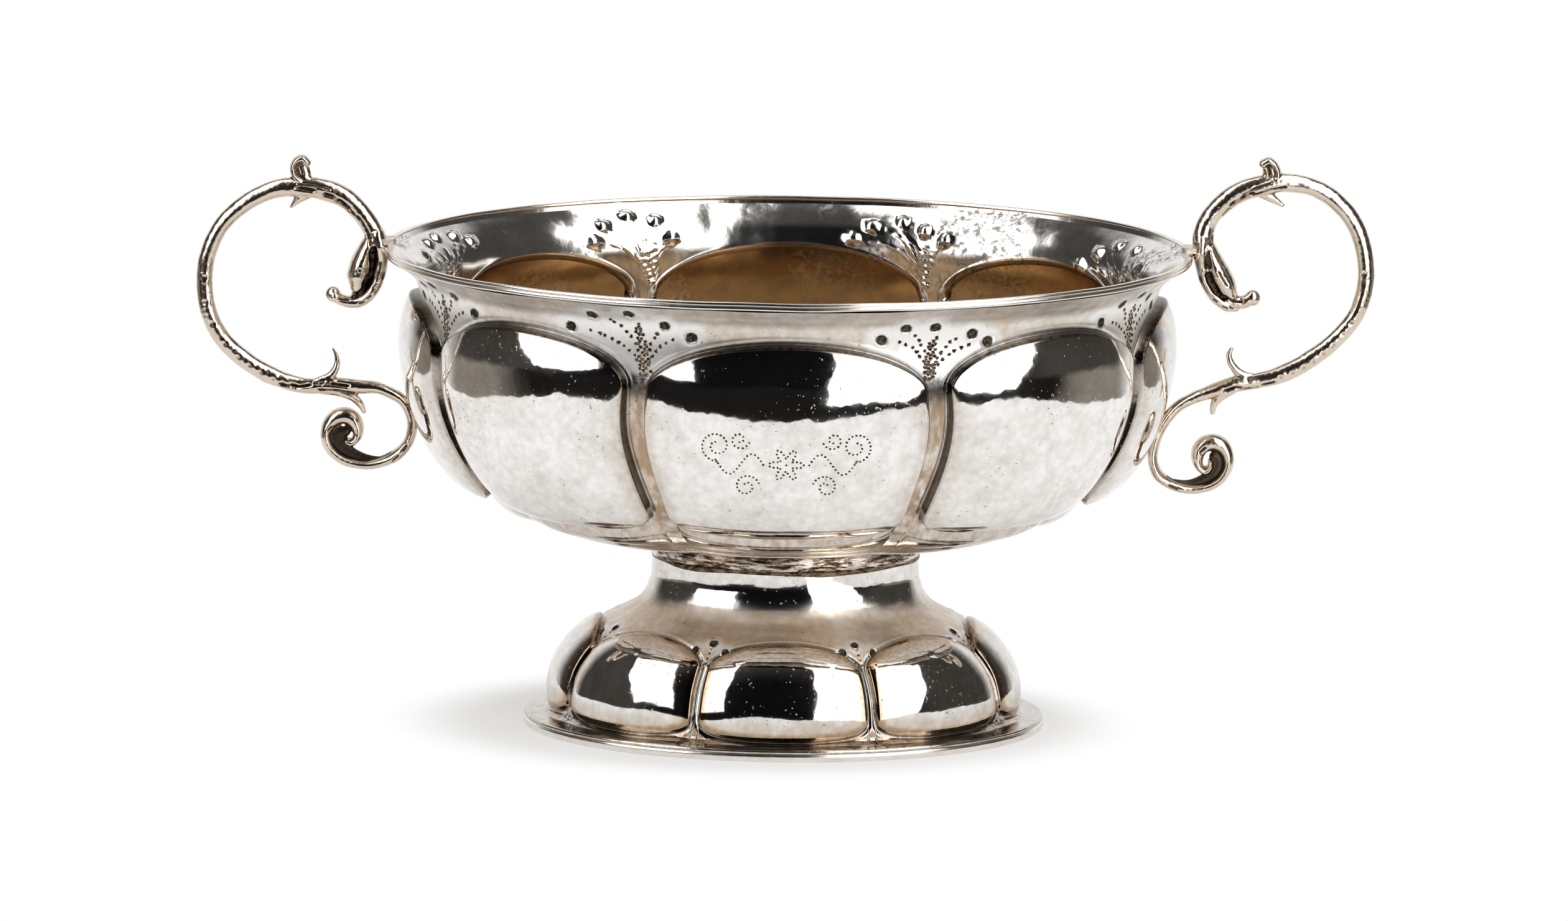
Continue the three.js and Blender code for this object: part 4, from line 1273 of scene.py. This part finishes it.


# Colours of the metal, from clean silver to the black in the lines; DARK also paints the bowl's lobe
# shoulders and valley forks black as a painted reflection of the dark room
BRIGHT = (0.93, 0.91, 0.885)
CAST_BRIGHT = (0.74, 0.68, 0.60)
WARM = (0.68, 0.56, 0.44)
GREY = (0.62, 0.58, 0.53)
HAZE = (0.60, 0.565, 0.52)
GILT = (0.50, 0.35, 0.19)
TAN = (0.40, 0.29, 0.19)
BROWN = (0.22, 0.145, 0.09)
OLIVE = (0.13, 0.12, 0.085)
DARK = (0.035, 0.026, 0.02)


def raised_outside(name, lobe_film, ground_film, brown, edge_brown, browner, polished, mirror):
    """Polished lobes under a thin uneven film, a plain ground with a warm tarnished film that is
    browner low down and paler round the fans, and dark lines; the same dark share paints the bowl's
    lobe shoulders and valley forks black, a painted reflection of the dark room. browner, polished
    and mirror are pairs of heights in mm, where the ground starts to get so and where it is fully
    so."""
    sheet = finish(name)
    ground = sheet.attribute("ground_mask")
    tarnish_and_painted_reflection = sheet.attribute("tarnish_and_painted_reflection")
    halo = sheet.attribute("halo")
    border = sheet.attribute("border")
    cloud = sheet.noise(15, 4) - 0.5
    patch = sheet.noise(5, 4, 0.6) - 0.5
    fleck = sheet.noise(1.3, 4, 0.6)
    cell = sheet.cells(2.0) - 0.35
    streak = sheet.noise(2.2, 4, 0.6, (1, 1, 5)) - 0.5
    height = sheet.height()
    clean = height.step(*polished)
    film = ground * (ground_film - halo * 0.7 + streak * 0.5) + lobe_film + border * 0.3
    film = film + cloud * (ground * 0.2 + 0.9) + patch * 1.1 + cell * 0.45 + (fleck - 0.5) * 0.6
    film = film * (1 - clean * ground * 0.65)
    film_color = sheet.blend(HAZE, WARM, (ground + border * edge_brown).held())
    color = sheet.blend(BRIGHT, film_color, film.held())
    color = sheet.blend(color, TAN, (border.step(0.62, 1) * edge_brown * fleck * 1.4).held())
    brown_share = ground * height.step(*browner) * (streak * 3.4 + brown) * (1 - clean * 0.5)
    color = sheet.blend(color, TAN, brown_share.held())
    pits = sheet.noise(0.8, 2).step(0.68, 0.74) * cloud.step(-0.12, 0.1) * 0.75
    color = sheet.blend(color, BROWN, pits)
    # painted reflection: DARK over the dark share blackens the bowl's lobe shoulders and valley
    # forks; elsewhere it darkens lines and marks
    color = sheet.blend(color, DARK, (tarnish_and_painted_reflection * (fleck * 0.6 + 0.65)).held())
    rough = ground * (0.32 - height.step(*mirror) * 0.28) + tarnish_and_painted_reflection * 0.1 + fleck * 0.03 + 0.045
    grain = sheet.dishes(0.32) + ground * fleck * 0.03 - pits * 0.04
    return metal(sheet, color, rough, grain)


def raised_inside(name):
    """Gilt lobes and floor, a grey and silver band above them, dark mottling in clouds."""
    sheet = finish(name)
    ground = sheet.attribute("ground_mask")
    tarnish_and_painted_reflection = sheet.attribute("tarnish_and_painted_reflection")
    cloud = sheet.noise(13, 5, 0.6)
    patch = sheet.noise(4, 5, 0.65)
    fleck = sheet.noise(1.3, 5, 0.7)
    mottled = sheet.noise(22, 2).step(0.5, 0.62) * fleck.step(0.46, 0.6)
    gilt = sheet.blend(GILT, TAN, patch.step(0.42, 0.62))
    grey = sheet.blend(BRIGHT, GREY, (patch * 1.4 - 0.3).held())
    grey = sheet.blend(grey, DARK, mottled * 0.75)
    silver = (ground * 1.3 - (cloud - 0.4) * 0.9 * (1 - ground * 0.5)) * sheet.height().step(62, 80)
    color = sheet.blend(gilt, grey, silver.held())
    color = sheet.blend(color, DARK, (tarnish_and_painted_reflection * 0.55 + (fleck - 0.66) * 1.6).held())
    rough = 0.07 + (1 - ground) * 0.1 + fleck * 0.1 + mottled * 0.2
    return metal(sheet, color, rough, sheet.dishes(0.35) + fleck * 0.015)


def drawn_wire(name):
    """Worn bright wire, its film drawn out along the ring."""
    sheet = finish(name)
    cloud = sheet.noise(9, 3)
    fleck = sheet.noise(0.8, 3, 0.5, (3, 3, 1))
    color = sheet.blend(BRIGHT, WARM, (cloud * 0.8 + fleck * 0.5 - 0.3).held())
    return metal(sheet, color, 0.1 + fleck * 0.15, fleck * 0.02)


def collar_silver(name):
    """A hammered band with ragged brown and dark streaks round it."""
    sheet = finish(name)
    cloud = sheet.noise(7, 4)
    streak = sheet.noise(0.75, 6, 0.7, (5, 5, 1))
    color = sheet.blend(BRIGHT, WARM, (cloud * 1.6 - 0.1).held())
    color = sheet.blend(color, BROWN, (streak.step(0.43, 0.52) * cloud.step(0.35, 0.5)).held())
    color = sheet.blend(color, DARK, streak.step(0.52, 0.57))
    return metal(sheet, color, 0.08 + streak * 0.2, streak * 0.12 + sheet.dishes(0.6))


def cast(name):
    """Cast silver: smooth and warm on the worn ridges, brown to black in the hollows."""
    sheet = finish(name)
    tarnish_and_painted_reflection = sheet.attribute("tarnish_and_painted_reflection")
    cloud = sheet.noise(5, 4)
    grain = sheet.noise(0.7, 4, 0.65)
    pits = sheet.noise(0.6, 2).step(0.7, 0.76)
    worn = sheet.blend(CAST_BRIGHT, WARM, (cloud * 1.6 - 0.15).held())
    color = sheet.blend(worn, BROWN, (pits * 0.6 + tarnish_and_painted_reflection.step(0.05, 0.55) * 0.75).held())
    color = sheet.blend(color, DARK, tarnish_and_painted_reflection.step(0.45, 1.05) * 0.9)
    rough = 0.12 + grain * 0.12 + tarnish_and_painted_reflection * 0.22
    return metal(sheet, color, rough, grain * 0.02 - pits * 0.05)


def punched(name):
    """Marks of the punch: bright burr, dark olive floor, rough."""
    sheet = finish(name)
    tarnish_and_painted_reflection = sheet.attribute("tarnish_and_painted_reflection")
    grain = sheet.noise(0.8, 5, 0.7)
    floor = sheet.blend(DARK, OLIVE, grain.step(0.45, 0.6))
    color = sheet.blend(WARM, floor, tarnish_and_painted_reflection.step(0.1, 0.7))
    return metal(sheet, color, 0.2 + tarnish_and_painted_reflection * 0.3, grain * 0.2 * tarnish_and_painted_reflection)


def solder(name, from_color, to_color):
    """Rough solder, its grains drawn out round the joint."""
    sheet = finish(name)
    grain = sheet.noise(0.8, 5, 0.7, (2.4, 2.4, 1))
    color = sheet.blend(from_color, to_color, grain.step(0.4, 0.65))
    return metal(sheet, color, 0.25 + grain * 0.3, grain * 0.4)


# Pieces of the bowl and the foot
def shell(name, skin, rows, node, material, step=1, inside=False, pole=None):
    """Rows of a lobed skin as one piece, every step-th column, closed by a pole if given."""
    points, quads, values, normals = skin_rows(skin, *rows, step)
    fan = None
    if pole is not None:
        points, fan, values, normals = with_pole(points, values, normals, pole)
    if inside:
        quads = quads[:, ::-1]
        fan = None if fan is None else fan[:, ::-1]
    piece = make_piece(name, points, quads, fan, values, normals)
    return fit(piece, node, material)


def bowl():
    """The flare and the lobes, outside and inside. Returns the outer skin for the marks."""
    skin = bowl_skin()
    silver = raised_outside(
        "bowl_silver", lobe_film=0.2, ground_film=0.25, brown=0.85, edge_brown=0.3,
        browner=(90, 82), polished=(56, 51), mirror=(89.5, 87.5),
    )
    gilt = raised_inside("gilt_lining")
    for side, dressed, material, step, floor in (
        ("outside", skin, silver, 1, NECK_HEIGHT),
        ("inside", bowl_lining(skin), gilt, 2, NECK_HEIGHT + WALL),
    ):
        inside = side == "inside"
        flare = (0, dressed["arch_row"])
        lobes = (dressed["arch_row"], len(dressed["final"]) - 1)
        shell("bowl_flare_" + side, dressed, flare, "bowl_shell", material, step, inside)
        shell("bowl_lobes_" + side, dressed, lobes, "bowl_shell", material, step, inside, floor)
    return skin


def foot():
    """The foot, outside and inside. Returns the outer skin for the marks."""
    skin, lining = foot_skin()
    silver = raised_outside(
        "foot_silver", lobe_film=0.55, ground_film=0.1, brown=0.38, edge_brown=1.5,
        browner=(12, 4), polished=(3.5, 2.5), mirror=(14, 12),
    )
    shell("foot_outside", skin, (0, len(skin["final"]) - 1), "foot_shell", silver)
    shell("foot_inside", lining, (0, len(lining["final"]) - 1), "foot_shell", silver, 2, True)
    return skin


def marks(bowl_outside, foot_outside):
    """The punched marks and pricked dots, each a small dish of its own, and the ornament."""
    silver = punched("punched_marks")
    for name, skin, centres, radius, rings, sides, uneven, seed in (
        ("bowl_marks", bowl_outside, "marks", MARK_RADIUS, MARK_RINGS, 20, 0.05, 31),
        ("bowl_dots", bowl_outside, "dots", DOT_RADIUS, DOT_RINGS, 8, 0.16, 32),
        ("foot_marks", foot_outside, "marks", 0.95, MARK_RINGS, 16, 0.06, 33),
        ("foot_dots", foot_outside, "dots", 0.26, DOT_RINGS, 8, 0.12, 34),
    ):
        spots, outs = set_on(skin[centres], skin)
        piece = craters(name, spots, outs, radius, rings, sides, uneven, seed)
        fit(piece, name.split("_")[0] + "_shell", silver)
    spots, outs = on_front(tendrils(), bowl_outside)
    ornament = craters("pricked_tendrils", spots, outs, 0.22, DOT_RINGS, 8, 0.12, 35)
    fit(ornament, "bowl_shell", silver)


# Pieces of the wires, the collar and the handles, and the lugs
def ring(name, half, section, node, material, columns=480, wobble=0.0, seed=0):
    """A wire or band of that section round the oval."""
    points, quads = oval_ring(half, section, columns, wobble, seed)
    return fit(make_piece(name, points.reshape(-1, 3), quads), node, material)


def wires():
    """The wire round the lip, the collar with its seam of solder, and the wire of the foot."""
    wire_silver = drawn_wire("wire_silver")
    ring("lip_bead", LIP_HALF, lip_wire_section(), "lip_wire", wire_silver, 720, 0.04, 11)
    band_silver = collar_silver("collar_silver")
    ring("collar_band", NECK_HALF, collar_section(), "collar_ring", band_silver, wobble=0.1, seed=12)
    seam = solder("solder_seam", DARK, TAN)
    ring("collar_solder", NECK_HALF, solder_section(), "collar_ring", seam, wobble=0.22, seed=13)
    ring("foot_rim", FOOT_WIRE_HALF, foot_wire_section(), "foot_wire", wire_silver)


def handle(side, material):
    """A casting set on the bowl, the left one turned half round."""
    points, quads, tarnish_and_painted_reflection = casting(side)
    points = points + [SEAT[side], 0, LIP_HEIGHT]
    if side == "left":
        points = points * [-1, -1, 1]
    piece = make_piece("handle_casting_" + side, points, quads, values=dict(tarnish_and_painted_reflection=tarnish_and_painted_reflection))
    return fit(piece, "handle_" + side, material)


def lug(side, material):
    """A lug keeps its CAD shape and gets a finish of its own."""
    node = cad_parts["rim_lug_" + side]
    node.data.materials.clear()
    node.data.materials.append(material)


marks(bowl(), foot())
wires()
cast_silver = cast("cast_silver")
lug_silver = solder("lug_silver", WARM, BRIGHT)
for side in ("left", "right"):
    handle(side, cast_silver)
    lug(side, lug_silver)

# Table, backdrop, lamps and room, in metres
TABLE_SIDE, TABLE_FRONT, TABLE_BACK = 0.30, -0.262, 1.5
WALL_SIDE, WALL_LOW, WALL_TOP = 0.9, -0.3, 1.2
PAPER = (0.87, 0.868, 0.862)
# moves the middle of the painted shade round the bowl to the left, so that it is darker on that side
PAINTED_SHADE_SHIFT = (0.004, 0.0, 0.0)
WHITE = (1, 1, 1, 1)


def sheet_of_paper(name, corners, near_glow, far_glow):
    """A pale plane that also shows some white of its own to the camera and, a little less, in the
    metal, more of it away from the bowl: the white falls off near the bowl, a painted shade round it
    in which the lamps' shadow shows."""
    mesh = bpy.data.meshes.new(name)
    mesh.from_pydata(corners, [], [(0, 1, 2, 3)])
    plane = bpy.data.objects.new(name, mesh)
    bpy.context.scene.collection.objects.link(plane)
    sheet = finish(name)
    off = sheet.place(1000, (1.3, 1, 1))
    moved = sheet.node("VectorMath", dict(operation="ADD"), {0: off, 1: PAINTED_SHADE_SHIFT}, "Vector")
    away = sheet.node("VectorMath", dict(operation="LENGTH"), {0: moved}, "Value")
    # painted shade: less white near the bowl, for the camera (glow) and for the metal (mirrored),
    # darkens the floor round it
    glow = away.step(0.046, 0.066) * (far_glow - near_glow) + near_glow
    mirrored = away.step(0.055, 0.14) * (far_glow * 0.92 - near_glow) + near_glow
    metal_ray = sheet.node("LightPath", output="Is Glossy Ray")
    metal_ray = metal_ray + sheet.node("LightPath", output="Is Transmission Ray")
    white_share = sheet.node("LightPath", output="Is Camera Ray") * glow
    white_share = white_share + metal_ray.held() * mirrored
    paper = sheet.node("BsdfDiffuse", sockets=dict(Color=(*PAPER, 1)))
    white = sheet.node("Emission", sockets=dict(Color=WHITE, Strength=1.0))
    sheet.show(sheet.node("MixShader", sockets={0: white_share.held(), 1: paper, 2: white}))
    mesh.materials.append(sheet.material)


def softbox(name, away, around, foot, lean, turn, size, brightness):
    """A lamp whose lower edge is away m off and foot m up, around degrees from the front. It
    leans back by lean degrees and turns by turn degrees from facing the bowl."""
    side = math.radians(around)
    face = math.radians(around + turn)
    tilt = math.radians(lean)
    lower = Vector((math.sin(side) * away, -math.cos(side) * away, foot))
    across = Vector((math.cos(face), math.sin(face), 0))
    inward = Vector((-math.sin(face), math.cos(face), 0))
    upward = inward * math.sin(tilt) + Vector((0, 0, 1)) * math.cos(tilt)
    data = bpy.data.lights.new(name, "AREA")
    data.shape = "RECTANGLE"
    data.size, data.size_y = size
    data.energy = brightness * math.pi * size[0] * size[1]
    lamp = bpy.data.objects.new(name, data)
    bpy.context.scene.collection.objects.link(lamp)
    middle = lower + upward * size[1] / 2
    facing = across.cross(upward)
    if facing.dot(middle) < 0:
        across, facing = -across, -facing
    axes = Matrix((across, upward, facing)).transposed().to_4x4()
    lamp.matrix_world = Matrix.Translation(middle) @ axes


def dark_room():
    """The world: white to the camera, and to the metal a room that is black towards the front,
    dim at the sides, lighter low down than high up, and white behind the bowl."""
    world = bpy.data.worlds.new("room")
    bpy.context.scene.world = world
    world.use_nodes = True
    room = Sheet(world.node_tree, "OutputWorld")
    direction = room.node("TexCoord", output="Generated")
    behind = room.node("SeparateXYZ", sockets={0: direction}, output=1)
    upward = room.node("SeparateXYZ", sockets={0: direction}, output=2)
    above = room.blend((0.005, 0.005, 0.006), (0.06, 0.056, 0.052), behind.step(-0.75, -0.35))
    below = room.blend((0.012, 0.011, 0.01), (0.26, 0.235, 0.205), behind.step(-0.4, -0.05))
    around = room.blend(below, above, upward.step(-0.1, -0.02))
    around = room.blend(around, (0.95, 0.95, 0.95), behind.step(0.45, 0.8))
    lit = room.node("Background", sockets=dict(Color=around, Strength=1.0))
    white = room.node("Background", sockets=dict(Color=WHITE, Strength=1.0))
    camera_ray = room.node("LightPath", output="Is Camera Ray")
    room.show(room.node("MixShader", sockets={0: camera_ray, 1: lit, 2: white}))


table_corners = [
    (-TABLE_SIDE, TABLE_FRONT, 0), (TABLE_SIDE, TABLE_FRONT, 0),
    (TABLE_SIDE, TABLE_BACK, 0), (-TABLE_SIDE, TABLE_BACK, 0),
]
backdrop_corners = [
    (-WALL_SIDE, TABLE_BACK, WALL_LOW), (WALL_SIDE, TABLE_BACK, WALL_LOW),
    (WALL_SIDE, TABLE_BACK, WALL_TOP), (-WALL_SIDE, TABLE_BACK, WALL_TOP),
]
sheet_of_paper("table", table_corners, near_glow=0.42, far_glow=1.0)
sheet_of_paper("backdrop", backdrop_corners, near_glow=1.0, far_glow=1.0)
softbox(
    "left softbox", away=0.91, around=-49.7, foot=0.11, lean=35, turn=32, size=(0.58, 2.2),
    brightness=2.3,
)
softbox(
    "right softbox", away=0.80, around=34, foot=-0.09, lean=29, turn=-29, size=(0.57, 3.0),
    brightness=2.7,
)
dark_room()

# Camera, from the fit to the photograph
CAMERA_RISE = math.radians(10.64)
CAMERA_ROLL = 0.01134
CAMERA_AWAY = 4.0
CAMERA_TARGET = Vector((-0.0005, 0, 0.059))
PIXEL = 0.1377 * MM
PICTURE_WIDTH, SENSOR = 2520, 36


def photo_camera():
    """A camera that looks at the target from in front, a little above and a little rolled, and
    takes in the picture's width at the target's distance."""
    toward = Vector((0, -math.cos(CAMERA_RISE), math.sin(CAMERA_RISE)))
    up = Vector((0, math.sin(CAMERA_RISE), math.cos(CAMERA_RISE)))
    right = Vector((1, 0, 0))
    rolled_right = right * math.cos(CAMERA_ROLL) + up * math.sin(CAMERA_ROLL)
    rolled_up = up * math.cos(CAMERA_ROLL) - right * math.sin(CAMERA_ROLL)
    camera = bpy.data.objects.new("camera", bpy.data.cameras.new("camera"))
    bpy.context.scene.collection.objects.link(camera)
    axes = Matrix((rolled_right, rolled_up, toward)).transposed().to_4x4()
    camera.matrix_world = Matrix.Translation(CAMERA_TARGET + toward * CAMERA_AWAY) @ axes
    camera.data.sensor_width = SENSOR
    camera.data.lens = SENSOR * CAMERA_AWAY / (PICTURE_WIDTH * PIXEL)
    camera.data.clip_end = 20
    bpy.context.scene.camera = camera


photo_camera()
bpy.context.scene.view_settings.view_transform = "Standard"
